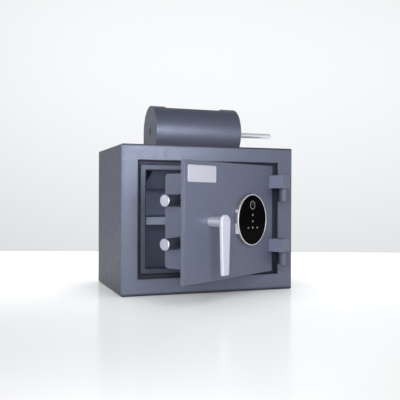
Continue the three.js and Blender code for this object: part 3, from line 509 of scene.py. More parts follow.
# %% Other metals
METAL_DRIFT, ZINC_DRIFT = (40.0, 0.04), (60.0, 0.06)
GRAIN_PER_MOTTLE = 4.0
CRYSTAL, CRYSTAL_DEEP = 110.0, 0.00002


def plain_metal(name, colour, rough, mottle=300.0, depth=0.00001, metal=1.0):
    """Drifting metal; the relief is four times as fine as the mottled gloss."""
    finish, tree, place = drifting_finish(name, colour, METAL_DRIFT, Metallic=metal)
    uneven_gloss(tree, place, mottle, rough)
    grain(tree, noise(tree, place, mottle * GRAIN_PER_MOTTLE), depth)
    return finish


def crystal(tree, place, scale):
    """Distance from the nearest cell's middle, 0 there and larger between."""
    return add_node(tree, "ShaderNodeTexVoronoi",
                    inputs={"Vector": place, "Scale": scale}).outputs["Distance"]


def zinc_plate(name, colour, rough):
    """Gloss and relief both follow the crystal cells."""
    finish, tree, place = drifting_finish(name, colour, ZINC_DRIFT, Metallic=0.9)
    cells = crystal(tree, place, CRYSTAL)
    feed(tree, change(tree, cells, (0.0, 1.0), rough, "LINEAR"), "Roughness")
    grain(tree, cells, CRYSTAL_DEEP)
    return finish


chrome = plain_metal("satin_chrome", srgb(240, 240, 247), (0.34, 0.4), mottle=60.0,
                     depth=0.0000005, metal=0.55)
machined = plain_metal("machined_steel", srgb(168, 172, 180), (0.25, 0.4))
blackened = plain_metal("blackened_steel", srgb(62, 64, 70), (0.4, 0.55))
bronze = plain_metal("oiled_bronze", srgb(78, 74, 70), (0.45, 0.6), mottle=900.0, depth=0.00004)
zinc = zinc_plate("zinc_plated_sheet", srgb(176, 180, 184), (0.38, 0.55))
print("metals:", chrome.name, machined.name, blackened.name, bronze.name, zinc.name)

# %% [markdown]
# ## Glass and plastics
#
# The lock's face is black glass with no more than a trace of a mirror. The
# battery lid, the plugs and the lock's grey shell are moulded plastic, whose
# tool leaves a fine leathery grain. The cells wear a smooth sleeve.

# %% Glass and plastics
GLASS_DRIFT, GLASS_MOTTLE, GLASS_ROUGH = (20.0, 0.2), 35.0, (0.05, 0.09)
SWELL, SWELL_DEEP = 60.0, 0.000002
PLASTIC_DRIFT, PLASTIC_MOTTLE = (25.0, 0.08), 200.0
LEATHER = 1500.0


def black_glass(name, colour):
    """Glass with a trace of mirror, and a very long, very low swell."""
    finish, tree, place = drifting_finish(name, colour, GLASS_DRIFT, IOR=1.5,
                                          Specular_IOR_Level=0.012)
    uneven_gloss(tree, place, GLASS_MOTTLE, GLASS_ROUGH)
    grain(tree, noise(tree, place, SWELL, 1.0), SWELL_DEEP)
    return finish


def moulded_plastic(name, colour, rough, depth):
    """The relief is a cell texture, as a tool's leather grain is."""
    finish, tree, place = drifting_finish(name, colour, PLASTIC_DRIFT, IOR=1.46)
    uneven_gloss(tree, place, PLASTIC_MOTTLE, rough)
    grain(tree, crystal(tree, place, LEATHER), depth)
    return finish


glass_black = black_glass("black_lock_glass", (0.0012, 0.0012, 0.0014, 1.0))
black_plastic = moulded_plastic("black_moulded_plastic", srgb(34, 35, 39), (0.45, 0.6), 0.00004)
lock_grey = moulded_plastic("grey_lock_shell", srgb(116, 115, 117), (0.35, 0.45), 0.000015)
cell_sleeve = moulded_plastic("cell_sleeve", srgb(52, 118, 84), (0.25, 0.35), 0.000005)
print("glass and plastics made")

# %% [markdown]
# ## Which piece wears which finish
#
# The imported record says what each piece is made of, so the finishes follow
# its slots. Some pieces have a finish of their own, because their gloss differs
# or their colour is painted lighter or darker as painted light and shade, and
# the plate and the bolts aren't brushed as the lever is.

# %% Finishes onto the imported pieces
FINISH_OF_SLOT = {
    "body_paint": body_paint, "inner_paint": inner_paint, "satin_steel": lever_steel,
    "plain_steel": machined, "zinc_plate": zinc, "dark_steel": blackened,
    "bright_chrome": chrome, "black_glass": glass_black, "bronze": bronze,
    "black_plastic": black_plastic, "cell_sleeve": cell_sleeve,
}
OWN_FINISH = {
    "name_plate": plate_steel, "door_plate": door_paint, "door_stop": stop_shade_paint,
    "bolt_upper": bolt_steel, "bolt_lower": bolt_steel, "jamb_frame": jamb_shade_paint,
    "body_wrap": shell_paint, "back_plate": shell_paint,
    "shelf": shelf_light_paint, "fishing_baffle": shelf_light_paint, "drop_chute": shelf_light_paint,
    "hinge_block_upper": block_light_paint, "hinge_block_lower": block_light_paint,
    "hinge_barrel_upper": barrel_paint, "hinge_barrel_lower": barrel_paint,
    "rotor_stub": barrel_paint,
}


def dress(piece, finish):
    """The piece wears one finish, in its first slot."""
    piece.data.materials.clear()
    piece.data.materials.append(finish)


for entry in frame["record"]["subparts"]:
    name, slot_name = entry["node"], entry["material_slot"]
    dress(nodes[name], OWN_FINISH.get(name, FINISH_OF_SLOT[slot_name]))

# %% [markdown]
# ## Rounded edges and smooth curves
#
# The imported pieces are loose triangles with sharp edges. Real edges are a
# little round and catch a line of light, and real drums aren't faceted. Both
# come from modifiers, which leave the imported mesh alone: Weld joins the
# triangles, Decimate turns flat groups of them into single faces, Bevel
# rounds edges steeper than the limit, and a small node group marks faces as
# smooth and steep edges as sharp. Weighted Normal keeps flat faces flat.

# %% Smooth by angle
STEEP = math.radians(32.0)
FLAT = math.radians(0.5)
SAME_PLACE = 1e-6


def smooth_group(limit):
    """Faces smooth, and edges that turn more than the limit sharp."""
    group = bpy.data.node_groups.new("smooth_up_to_an_angle", "GeometryNodeTree")
    for way in ("INPUT", "OUTPUT"):
        group.interface.new_socket("Geometry", in_out=way, socket_type="NodeSocketGeometry")
    enter = group.nodes.new("NodeGroupInput")
    leave = group.nodes.new("NodeGroupOutput")
    turn = group.nodes.new("GeometryNodeInputMeshEdgeAngle")
    steep = add_node(group, "FunctionNodeCompare",
                     {"data_type": "FLOAT", "operation": "GREATER_THAN"},
                     {0: turn.outputs["Unsigned Angle"], 1: limit})
    faces = add_node(group, "GeometryNodeSetShadeSmooth", {"domain": "FACE"},
                     {"Geometry": enter.outputs[0]})
    edges = add_node(group, "GeometryNodeSetShadeSmooth", {"domain": "EDGE"},
                     {"Geometry": faces.outputs[0], "Selection": steep.outputs[0],
                      "Shade Smooth": False})
    group.links.new(edges.outputs[0], leave.inputs[0])
    return group


SMOOTH = smooth_group(STEEP)


def shade_sharp(piece):
    """Smooth round the curves, with the steep edges kept sharp."""
    shade = piece.modifiers.new("smooth_shading", "NODES")
    shade.node_group = SMOOTH


def soften(piece, width, segments=2):
    """Weld, merge flat faces, round the edges by width, then shade smooth."""
    weld = piece.modifiers.new("weld", "WELD")
    weld.merge_threshold = SAME_PLACE
    flat = piece.modifiers.new("flat_faces", "DECIMATE")
    flat.decimate_type = "DISSOLVE"
    flat.angle_limit = FLAT
    if width > 0:
        edge = piece.modifiers.new("round_edges", "BEVEL")
        edge.width = width
        edge.segments = segments
        edge.limit_method = "ANGLE"
        edge.angle_limit = STEEP
    shade_sharp(piece)
    even = piece.modifiers.new("even_normals", "WEIGHTED_NORMAL")
    even.keep_sharp = True


print("edges turn smooth up to", math.degrees(STEEP), "degrees")

# %% [markdown]
# Thin sheet gets a smaller rounding than plate, and the folded body a larger
# one. The cable, the pull rod and the bushes stay as they are.

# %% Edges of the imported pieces
EDGE_WIDTH = 0.0004
THIN_EDGE = 0.0002
SHELL_EDGE, SHELL_SEGMENTS = 0.0012, 3
THIN = {"shelf", "drop_chute", "fishing_baffle", "name_plate", "battery_lid",
        "shelf_rail_left", "shelf_rail_right", "lock_glass", "cell_holder", "door_plate"}
NO_EDGE = {"lock_cable", "rotor_rod", "axle_bush_left", "axle_bush_right"}
for name, piece in nodes.items():
    if name == "body_wrap":
        soften(piece, SHELL_EDGE, SHELL_SEGMENTS)
    else:
        soften(piece, 0.0 if name in NO_EDGE else THIN_EDGE if name in THIN else EDGE_WIDTH)
print("softened", len(nodes), "pieces")

# %% [markdown]
# ## Surfaces worked out with numpy
#
# New pieces are made the same way each time: a shape is a function of two
# parameters, sampled on a grid, and neighbouring samples are joined by
# four-sided faces. One function turns a grid of points into a mesh. A closed
# direction joins its last row to its first.

# %% Grid to mesh
def grid_faces(rows, columns, close_rows=False, close_columns=False):
    """Corner numbers of every cell: (i, j), (i+1, j), (i+1, j+1), (i, j+1)."""
    i = np.arange(rows if close_rows else rows - 1)
    j = np.arange(columns if close_columns else columns - 1)
    a, b = np.meshgrid(i, j, indexing="ij")
    c, d = (a + 1) % rows, (b + 1) % columns
    cells = np.stack((a * columns + b, c * columns + b, c * columns + d, a * columns + d), -1)
    return cells.reshape(-1, 4)


def make_piece(name, shape, finish, body, smooth=True):
    """A mesh from (points, faces), with its finish, body and slot."""
    points, faces = shape
    mesh = bpy.data.meshes.new(name)
    mesh.from_pydata(points.tolist(), [], [list(map(int, f)) for f in faces])
    mesh.validate()
    mesh.update()
    mesh.polygons.foreach_set("use_smooth", [smooth] * len(mesh.polygons))
    piece = bpy.data.objects.new(name, mesh)
    bpy.context.collection.objects.link(piece)
    dress(piece, finish)
    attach(piece, body)
    return piece


def door_piece(name, shape, finish, body="door", smooth=True):
    """The same for a shape in millimetres on the shut door, turned with it."""
    points, faces = shape
    return make_piece(name, (opened(points), faces), finish, body, smooth)


print("grid helpers ready")

# %% [markdown]
# ## Weld beads
#
# The drum's hood is welded to the top of the body, and each hinge strap to
# the front plate. A bead of weld is a rod of metal with ripples, half sunk
# in the corner that it fills. It is a tube along the seam whose radius swings
# a little, painted over with the rest.

# %% Weld beads
HOOD_HALF = 0.096
HOOD_R, DRUM_RISE = 0.056, 0.0375
HOOD_REAR = HOOD_R
HOOD_FRONT = -math.sqrt(HOOD_R ** 2 - DRUM_RISE ** 2)
TOP = 0.3
INSET = 0.0003
BEAD, HINGE_BEAD = 0.0009, 0.0012
BEAD_STEP, BEAD_SIDES = 0.0006, 8
RIPPLE, RIPPLE_LONG = 0.16, 1.6


def capped(points):
    """Grid points of a tube with its two ends closed by a middle point each."""
    rows, columns, _ = points.shape
    flat = points.reshape(-1, 3)
    ends = np.array((points[0].mean(0), points[-1].mean(0)))
    first, last = rows * columns, rows * columns + 1
    j = np.arange(columns)
    k = (j + 1) % columns
    top = (rows - 1) * columns
    start = np.stack((np.full(columns, first), j, k), 1)
    end = np.stack((np.full(columns, last), top + k, top + j), 1)
    faces = grid_faces(rows, columns, close_columns=True).tolist()
    return np.concatenate((flat, ends)), faces + start.tolist() + end.tolist()


def weld_bead(name, start, end, radius=BEAD):
    """A bead on a straight seam. Each ring is centre + r (cos t side +
    sin t over), square to the seam, and r = radius (1 + ripple sin) along it."""
    start, end = np.array(start), np.array(end)
    length = np.linalg.norm(end - start)
    run = np.linspace(0.0, length, int(length / BEAD_STEP))[:, None, None]
    ahead = (end - start) / length
    side = np.cross(ahead, (0.0, -1.0, 0.0) if start[2] < end[2] else UPWARDS)
    t = np.linspace(0.0, 2.0 * np.pi, BEAD_SIDES, endpoint=False)[:, None]
    ring = np.cos(t) * side + np.sin(t) * np.cross(side, ahead)
    r = radius * (1.0 + RIPPLE * np.sin(run / (RIPPLE_LONG * radius)))
    shape = capped(start + ahead * run + ring * r)
    make_piece(name, shape, body_paint, "safe_body")


for side, y in (("front", HOOD_FRONT - INSET), ("rear", HOOD_REAR + INSET)):
    weld_bead("hood_weld_" + side, (-HOOD_HALF, y, TOP), (HOOD_HALF, y, TOP))
for side, x in (("left", -HOOD_HALF - INSET), ("right", HOOD_HALF + INSET)):
    weld_bead("hood_weld_" + side, (x, HOOD_FRONT, TOP), (x, HOOD_REAR, TOP))
print("welded the four seams of the hood")

# %% [markdown]
# The front plate sits inside the folded body, and the seam round it is
# welded, ground flush and painted. What is left is a hardly raised line: a
# flat bead whose section is a low arch, carried round a rounded rectangle.

# %% Seam of the front plate
SEAM_HALF = 0.0011
SEAM_PROUD = 0.00012
SEAM_SINK = 0.0003
SEAM_CORNER, SEAM_STEPS = 0.002, 7
SEAM_FLOAT, SEAM_FOOT_SHARE = 0.000005, 0.9


def arc(centre, radii, start, end, count):
    """Ellipse points from start to end degrees."""
    t = np.radians(np.linspace(start, end, count))
    return np.stack((centre[0] + radii[0] * np.cos(t), centre[1] + radii[1] * np.sin(t)), 1)


def rounded_loop(x0, z0, x1, z1, radius, steps):
    """Quarter circles about the four inner corner centres, joined in turn."""
    corners = ((x1 - radius, z0 + radius, -90), (x1 - radius, z1 - radius, 0),
               (x0 + radius, z1 - radius, 90), (x0 + radius, z0 + radius, 180))
    return np.concatenate([arc((x, z), (radius, radius), a, a + 90, steps)
                           for x, z, a in corners])


def closed_ring(points):
    """Flat points and faces of a grid that is closed both ways."""
    rows, columns, _ = points.shape
    faces = grid_faces(rows, columns, close_rows=True, close_columns=True)
    return points.reshape(-1, 3), faces.tolist()


def low_arch(loop, face_y, columns=7):
    """Across the seam s runs from -1 to 1: the height is proud (1 - s^2),
    and two more columns, sunk into the gap, close the section behind."""
    ahead = np.roll(loop, -1, 0) - np.roll(loop, 1, 0)
    ahead /= np.linalg.norm(ahead, axis=1, keepdims=True)
    side = np.stack((ahead[:, 1], -ahead[:, 0]), 1)
    foot = (SEAM_FOOT_SHARE, -SEAM_FOOT_SHARE)
    s = np.concatenate((np.linspace(-1.0, 1.0, columns), foot))
    arch = -SEAM_PROUD * (1.0 - s[:columns] ** 2) - SEAM_FLOAT
    points = np.zeros((len(loop), columns + 2, 3))
    points[..., 0] = loop[:, 0:1] + side[:, 0:1] * s * SEAM_HALF
    points[..., 2] = loop[:, 1:2] + side[:, 1:2] * s * SEAM_HALF
    points[..., 1] = face_y + np.concatenate((arch, (SEAM_SINK, SEAM_SINK)))
    return points


(x0, face_y, z0), (x1, _, z1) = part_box("front_frame")
seam = closed_ring(low_arch(rounded_loop(x0, z0, x1, z1, SEAM_CORNER, SEAM_STEPS), face_y))
make_piece("front_seam", seam, body_paint, "safe_body")
print("ground the front seam flush")

# %% [markdown]
# The straps of the hinge barrels are held by one upright bead each, thicker
# than the hood's and a millimetre short of either end.

# %% Hinge welds
STRAP_CORNER_Y = -0.121
OFF_STRAP = 0.0002
OFF_END = 0.001
for level in ("upper", "lower"):
    low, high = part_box("hinge_barrel_" + level)
    x = high[0] + OFF_STRAP
    weld_bead("hinge_weld_" + level, (x, STRAP_CORNER_Y, low[2] + OFF_END),
              (x, STRAP_CORNER_Y, high[2] - OFF_END), HINGE_BEAD)
print("welded the hinge straps")

# %% [markdown]
# ## Screw heads
#
# Four pan-head screws hold the casing to the door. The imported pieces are
# plain pegs, and these stand in for them: a dome, turned from a profile, with
# a cross pressed into it. The height is a function of radius and angle, so
# the cross is simply taken off the height where it lies.

# %% Screw heads
SCREW_R = 4.0
SCREW_H = 2.4
DOME_FALL, DOME_POWER = 0.45, 4
RING_SPREAD = 0.8
CROSS_HALF = 0.45
CROSS_REACH = 2.3
CROSS_DEPTH = 1.3
WALL_FADE, END_FADE = 0.2, 0.4


def screw_head(rings=26, spokes=96):
    """Height is H (1 - 0.45 (r/R)^4) less the cross: its depth fades from the
    arms' edge, at |u| = half width, over a fifth of a millimetre."""
    share = np.linspace(0.0, 1.0, rings) ** RING_SPREAD
    angle = np.linspace(0.0, 2.0 * np.pi, spokes, endpoint=False)
    radius, turn = np.meshgrid(SCREW_R * share, angle, indexing="ij")
    u, v = radius * np.cos(turn), radius * np.sin(turn)
    dome = SCREW_H * (1.0 - DOME_FALL * (radius / SCREW_R) ** DOME_POWER)
    near, far = np.minimum(np.abs(u), np.abs(v)), np.maximum(np.abs(u), np.abs(v))
    inside = np.clip((CROSS_HALF - near) / WALL_FADE + 0.5, 0.0, 1.0)
    reach = np.clip((CROSS_REACH - far) / END_FADE, 0.0, 1.0)
    height = dome - CROSS_DEPTH * inside * reach
    skirt = np.stack((SCREW_R * np.cos(angle), np.zeros(spokes), SCREW_R * np.sin(angle)), -1)
    top = np.stack((u, height, v), -1)
    return np.concatenate((top, skirt[None]), 0)


def place_screw(index, low, high):
    """The head stands on the casing's flange and faces into the safe."""
    foot = shut((np.array(low) + np.array(high)) / 2.0) - np.array((0.0, SCREW_H / 2.0, 0.0))
    points = foot + screw_head()
    rows, columns, _ = points.shape
    faces = grid_faces(rows, columns, close_columns=True)[:, ::-1]
    shape = (points.reshape(-1, 3), faces)
    piece = door_piece(f"casing_screw_{index}", shape, zinc, "door")
    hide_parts(f"case_screw_{index}")


for index in range(1, 5):
    low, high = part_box(f"case_screw_{index}")
    place_screw(index, low, high)
print("placed four screw heads")

# %% [markdown]
# ## The round lock
#
# The lock is a grey moulded shell behind a turned metal ring, and the packed
# piece is one solid for both, with flats round it. Two turned shapes replace
# it. A profile of (radius, depth) points is carried round the lock's axis:
# that is a surface of two parameters, the angle and the place on the profile.

# %% Turned ring and body
LOCK_X = 60.5
LOCK_Z = 151.0
LOCK_R = 52.0
RING_R = 50.8
RIM_W = 1.7
RIM_ROUND = 0.6
RING_DEEP = 2.6
SHELL_IN, SHELL_WALL, SHELL_ROUND = 0.5, 6.0, 0.1
SHELL_OFF_DOOR, CONTACT_OFF_DOOR = 0.05, 0.1
lock_front = front_of("lock_housing")
glass_front = front_of("lock_glass")
door_front = front_of("door_plate")
print("lock front", lock_front, "glass", glass_front, "door", door_front)


def turned(profile, axis=(LOCK_X, LOCK_Z), spokes=160):
    """Each profile point (r, y) goes round an axis square to the door:
    x = X + r cos t, z = Z + r sin t. The profile is a closed loop."""
    profile = np.asarray(profile, float)
    t = np.linspace(0.0, 2.0 * np.pi, spokes, endpoint=False)
    r, y = profile[:, 0][:, None], profile[:, 1][:, None]
    return closed_ring(np.stack((axis[0] + r * np.cos(t), y + 0.0 * t,
                                 axis[1] + r * np.sin(t)), -1))


def rounded_front(inner, outer, front, back, radius, steps=6):
    """A rectangle of (r, y) whose two front corners are quarter circles."""
    t = np.radians(np.linspace(0.0, 90.0, steps))
    near = np.stack((inner + radius - radius * np.cos(t), front + radius - radius * np.sin(t)), 1)
    far = np.stack((outer - radius + radius * np.sin(t), front + radius - radius * np.cos(t)), 1)
    return np.concatenate((((inner, back),), near, far, ((outer, back),)))


ring_back = lock_front + RING_DEEP
ring_profile = rounded_front(RING_R - RIM_W, RING_R, lock_front, ring_back, RIM_ROUND)
body_profile = rounded_front(LOCK_R - SHELL_WALL, LOCK_R - SHELL_IN, ring_back,
                             door_front - SHELL_OFF_DOOR, SHELL_ROUND, 3)
door_piece("lock_ring", turned(ring_profile), ring_steel)
lock_body = door_piece("lock_body", turned(body_profile), lock_grey, "door")
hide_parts("lock_housing")
print("turned the lock's ring and body")

# %% [markdown]
# On the left flank of the lock sit two bright metal pieces, the contact for
# outside power and a flat tab below it. The contact follows the round flank:
# it is a patch of a cylinder between two angles, with a back. The tab is a
# small block whose outer face stands upright. Both have the same section,
# four corners in the order outer front, outer back, inner back, inner front.

# %% Contact and tab
CONTACT_Z, CONTACT_R = (15.4, 20.8), (LOCK_R - 0.1, LOCK_R - 1.5)
TAB_Z, TAB_R, TAB_DEEP = (-26.2, -6.1), (LOCK_R - 0.4, LOCK_R - 8.0), 4.2
BEHIND_RING = 0.2


def section_of(radii, y_front, y_back):
    """The four corners (r, y) of a section between two radii and depths."""
    outer, inner = radii
    return (outer, y_front), (outer, y_back), (inner, y_back), (inner, y_front)


def flank_patch(heights, radii, y_front, y_back, steps=24):
    """x = X + r cos t, z = Z + r sin t, with t between the two heights."""
    low, high = np.pi - np.arcsin(np.array(heights) / radii[0])
    t = np.linspace(high, low, steps)
    ring = [np.stack((LOCK_X + r * np.cos(t), np.full(steps, y), LOCK_Z + r * np.sin(t)), -1)
            for r, y in section_of(radii, y_front, y_back)]
    return capped(np.stack(ring, 1))


def upright_block(heights, radii, y_front, y_back):
    """The same section carried straight up, without following the flank."""
    z = np.array(heights[::-1]) + LOCK_Z
    ring = [np.stack((np.full(2, LOCK_X - r), np.full(2, y), z), -1)
            for r, y in section_of(radii, y_front, y_back)]
    return capped(np.stack(ring, 1))


flank_front = ring_back + BEHIND_RING
contact = flank_patch(CONTACT_Z, CONTACT_R, flank_front, door_front - CONTACT_OFF_DOOR)
tab = upright_block(TAB_Z, TAB_R, flank_front, flank_front + TAB_DEEP)
for name, shape in (("lock_contact", contact), ("lock_tab", tab)):
    door_piece(name, shape, ring_steel, smooth=False)
print("fitted the contact and the tab")

# %% [markdown]
# ## The collar on the spindle
#
# Between the door and the lever the spindle wears a satin collar that grows
# a little towards the lever. It is turned like the lock's ring, stands clear
# of the door's face, and turns with the handle.

# %% Spindle collar
SPINDLE_X, SPINDLE_Z = -70.0, 151.0
SPINDLE_R = 7.6
COLLAR_R_DOOR, COLLAR_R_LEVER = 9.0, 10.1
COLLAR_CLEAR = 0.2
COLLAR_ROUND = 0.3
COLLAR_SPOKES = 64
OVERLAP = 0.1
LEVER_T = 7.0
collar_steel = plain_metal("satin_collar_steel", srgb(246, 248, 255), (0.42, 0.5),
                           mottle=120.0, depth=0.000002, metal=0.95)
near_door = door_front - COLLAR_CLEAR
near_lever = front_of("handle_lever") + LEVER_T - OVERLAP
collar_profile = ((SPINDLE_R - OVERLAP, near_door), (SPINDLE_R - OVERLAP, near_lever),
                  (COLLAR_R_LEVER - COLLAR_ROUND, near_lever),
                  (COLLAR_R_LEVER, near_lever + COLLAR_ROUND),
                  (COLLAR_R_DOOR, near_door - COLLAR_ROUND),
                  (COLLAR_R_DOOR - COLLAR_ROUND, near_door))
shape = turned(collar_profile, (SPINDLE_X, SPINDLE_Z), COLLAR_SPOKES)
shade_sharp(door_piece("spindle_collar", shape, collar_steel, "handle"))
print("collar from", near_door, "to", near_lever)

# %% [markdown]
# ## Marks on the lock's glass
#
# The glass carries a six-sided sign for the finger reader and five small
# touch points. They are printed, so they are thin: flat ribbons a twentieth
# of a millimetre high. Each ribbon follows a path in the plane of the glass,
# in millimetres from the lock's middle, and has a width.

# %% Ribbons on the glass
PRINT = 0.05


def ribbon(path, width, closed, height=PRINT):
    """Four rows beside a path: outer and inner edge, below and above."""
    path = np.asarray(path, float)
    ahead = np.gradient(path, axis=0)
    if closed:
        ahead = (np.roll(path, -1, 0) - np.roll(path, 1, 0)) / 2.0
    ahead /= np.linalg.norm(ahead, axis=1, keepdims=True)
    side = np.stack((-ahead[:, 1], ahead[:, 0]), 1) * width / 2.0
    left, right = path + side, path - side
    flat = np.stack((left, right, right, left), 1)
    points = np.zeros(flat.shape[:2] + (3,))
    points[..., 0] = LOCK_X + flat[..., 0]
    points[..., 1] = glass_front + np.array((0.0, 0.0, -height, -height))
    points[..., 2] = LOCK_Z + flat[..., 1]
    return points


def joined(parts):
    """Several (points, faces) pairs as one pair, with the numbers shifted."""
    shift, all_points, all_faces = 0, [], []
    for points, faces in parts:
        all_points.append(points)
        all_faces += [[index + shift for index in face] for face in faces]
        shift += len(points)
    return np.concatenate(all_points), all_faces


print("ribbons are", PRINT, "mm high")

# %% [markdown]
# The print is a finish of its own: a pale matt ink. The finger's ridges are
# printed in a darker grey than the outline round them.

# %% The printed signs
SIGN_UP = 29.1
SIGN_R, SIGN_LINE, CORNER_CUT = 8.8, 0.85, 0.12
RIDGES = ((5.2, -35, 215), (3.7, -55, 200), (2.1, -20, 235))
RIDGE_LINE, RIDGE_SLIM, RIDGE_STEPS = 0.45, 0.85, 26
TOUCH_POINTS = ((0.4, 9.6, 1.9), (0.4, -2.7, 1.9), (-15.2, -15.5, 1.5),
                (0.4, -15.4, 1.9), (17.4, -16.0, 1.7))
INK_DRIFT, INK_GRAIN, INK_DEEP = (400.0, 0.04), 3000.0, 0.000005


def key_ink(name, colour):
    """Matt ink with a very fine relief."""
    finish, tree, place = drifting_finish(name, colour, INK_DRIFT, Roughness=0.55)
    grain(tree, noise(tree, place, INK_GRAIN), INK_DEEP)
    return finish


def six_sided(radius, side_steps=6):
    """A hexagon standing on a point. Each side is sampled between two shares
    of its length, so that a short straight bit cuts off every corner."""
    t = np.radians(np.arange(6) * 60.0 + 90.0)
    corners = radius * np.stack((np.cos(t), np.sin(t)), 1)
    share = np.linspace(CORNER_CUT, 1.0 - CORNER_CUT, side_steps)[:, None]
    return np.concatenate([corner * (1 - share) + after * share
                           for corner, after in zip(corners, np.roll(corners, -1, 0))])


def finger_ridges():
    """Nested arches (radius, from, to in degrees), open below."""
    return joined([capped(ribbon(arc((0.0, SIGN_UP), (radius * RIDGE_SLIM, radius), low, high,
                                     RIDGE_STEPS), RIDGE_LINE, False))
                   for radius, low, high in RIDGES])


def touch_points():
    """Small round keys (x, z, radius). A ribbon as wide as the radius, carried
    round at half of it, is a disc: a ring with no hole."""
    return joined([closed_ring(ribbon(arc((x, z), (radius / 2.0, radius / 2.0), 0, 345, 24),
                                      radius, True))
                   for x, z, radius in TOUCH_POINTS])


pale_ink = key_ink("pale_key_ink", srgb(160, 162, 164))
dim_ink = key_ink("dim_key_ink", srgb(34, 35, 38))
sign_path = six_sided(SIGN_R) + np.array((0.0, SIGN_UP))
signs = (("sign_outline", closed_ring(ribbon(sign_path, SIGN_LINE, True)), pale_ink),
         ("finger_ridges", finger_ridges(), dim_ink), ("touch_points", touch_points(), pale_ink))
for name, shape, finish in signs:
    door_piece(name, shape, finish, smooth=False)
print("printed the signs")

# %% [markdown]
# ## The bare plate
#
# The plate at the door's top corner stays bare. A pressed line runs round it
# inside its edge, as on a blank nameplate: a low ribbon that follows a
# rounded rectangle.

# %% Border of the plate
PLATE_X0, PLATE_X1 = -136.6, -53.8
PLATE_Z0, PLATE_Z1 = 222.7, 253.3
BORDER_IN, BORDER_LINE, BORDER_HIGH = 1.6, 0.5, 0.12
BORDER_ROUND, BORDER_STEPS = 2.0, 8
BORDER_SINK = 0.02


def plate_border():
    """The ribbon's rows round the loop, brought from the glass to the plate."""
    loop = rounded_loop(PLATE_X0 + BORDER_IN, PLATE_Z0 + BORDER_IN, PLATE_X1 - BORDER_IN,
                        PLATE_Z1 - BORDER_IN, BORDER_ROUND, BORDER_STEPS)
    rows = ribbon(loop - np.array((LOCK_X, LOCK_Z)), BORDER_LINE, True, BORDER_HIGH)
    rows[..., 1] += front_of("name_plate") - glass_front + BORDER_SINK
    return closed_ring(rows)


door_piece("plate_border", plate_border(), plate_steel)
print("plate border made")

# %% [markdown]
# ## The floor
#
# The safe stands on a glossy pale floor in front of a pale wall. The floor is
# a sheet that ends behind the safe, and its far edge draws the line that the
# picture shows. It is pale lacquer: mostly matt, with a weak mirror over it.
# Its brightness far off comes from a glow of its own, which only the camera,
# mirrors and glass see: it lends the safe no diffuse light. Near the foot of
# the safe the glow fades with ambient occlusion, the share of directions
# that are open within a short reach, and so the contact shade stays.

# %% Floor
FLOOR_REACH = 0.818
FLOOR_SIDE = 6.0
FLOOR_NEAR = -6.0
FLOOR_DROP = 0.0002
LACQUER = (0.62, 0.624, 0.63, 1.0)
GLOW_COLOUR = (0.985, 0.992, 1.0, 1.0)
AHEAD_ENDS, AHEAD_GLOW = (-0.9, 0.15), (0.1, 0.64)
ROUND_ENDS, ROUND_GLOW = (0.95, 1.7), (0.0, 0.64)
CORNER_REACH, CORNER_SAMPLES = 0.15, 16
AHEAD = (math.sin(TURN), math.cos(TURN), 0.0)
RIGHT = (math.cos(TURN), -math.sin(TURN), 0.0)


def floor_sheet():
    """A flat rectangle turned with the camera, so its far edge looks level."""
    corners = [np.array(RIGHT) * a + np.array(AHEAD) * b for a, b in (
        (-FLOOR_SIDE, FLOOR_NEAR), (FLOOR_SIDE, FLOOR_NEAR),
        (FLOOR_SIDE, FLOOR_REACH), (-FLOOR_SIDE, FLOOR_REACH))]
    mesh = bpy.data.meshes.new("studio_floor")
    mesh.from_pydata(corners, [], [(0, 1, 2, 3)])
    sheet = bpy.data.objects.new("studio_floor", mesh)
    bpy.context.collection.objects.link(sheet)
    sheet.location.z = -FLOOR_DROP
    return sheet


def floor_finish():
    """Glow = seen x max(rise ahead, rise all round) x open share. The first
    rises with the way gone ahead, the second with the way from the safe."""
    finish, tree = start_finish("pale_glossy_floor", Roughness=0.16, IOR=1.1,
                                Base_Color=LACQUER, Emission_Color=GLOW_COLOUR)
    path = add_node(tree, "ShaderNodeLightPath")
    seen = path.outputs["Is Camera Ray"]
    for kind in ("Is Glossy Ray", "Is Transmission Ray"):
        seen = calculate(tree, "MAXIMUM", seen, path.outputs[kind])
    place = object_place(tree)
    ahead = change(tree, reach_along(tree, place, AHEAD), AHEAD_ENDS, AHEAD_GLOW)
    away = add_node(tree, "ShaderNodeVectorMath", {"operation": "LENGTH"}, {0: place})
    around = change(tree, away.outputs["Value"], ROUND_ENDS, ROUND_GLOW)
    glow = calculate(tree, "MULTIPLY", seen, calculate(tree, "MAXIMUM", ahead, around))
    corner = add_node(tree, "ShaderNodeAmbientOcclusion", {"samples": CORNER_SAMPLES},
                      {"Distance": CORNER_REACH})
    feed(tree, calculate(tree, "MULTIPLY", glow, corner.outputs["AO"]), "Emission Strength")
    return finish


floor = floor_sheet()
dress(floor, floor_finish())
floor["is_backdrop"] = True
print("floor laid")

# %% [markdown]
# ## The room
#
# The room is a world of soft patches of light. A patch is brightest along
# its own direction and fades as exp(k (cos a - 1)), where a is the angle from
# that direction: the same fall-off as a large diffused panel. The strongest
# are the pale wall behind the safe, the patch at its right rear and the one
# on its left. Little comes from above, which is why the drum's top is darker
# than its middle. The wall is a little greyer at its foot.

# %% Room light
PATCH_TIGHTNESS = 5.0
PATCHES = ((180, 5, 0.645), (180, 45, 0.177), (135, 5, 0.633), (90, 5, 0.268),
           (45, 5, 0.275), (0, 5, 0.197), (-45, 5, 0.33), (-90, 5, 0.579))
ROOM_TINT = (0.98, 0.988, 1.0, 1.0)
WALL_ENDS, WALL_SHARES = (-0.1, 0.3), (0.95, 1.07)


def facing(turn_degrees, rise_degrees):
    """A direction: 0 is towards the front of the safe, 90 to its right."""
    a, e = math.radians(turn_degrees), math.radians(rise_degrees)
    return (math.sin(a) * math.cos(e), -math.cos(a) * math.cos(e), math.sin(e))


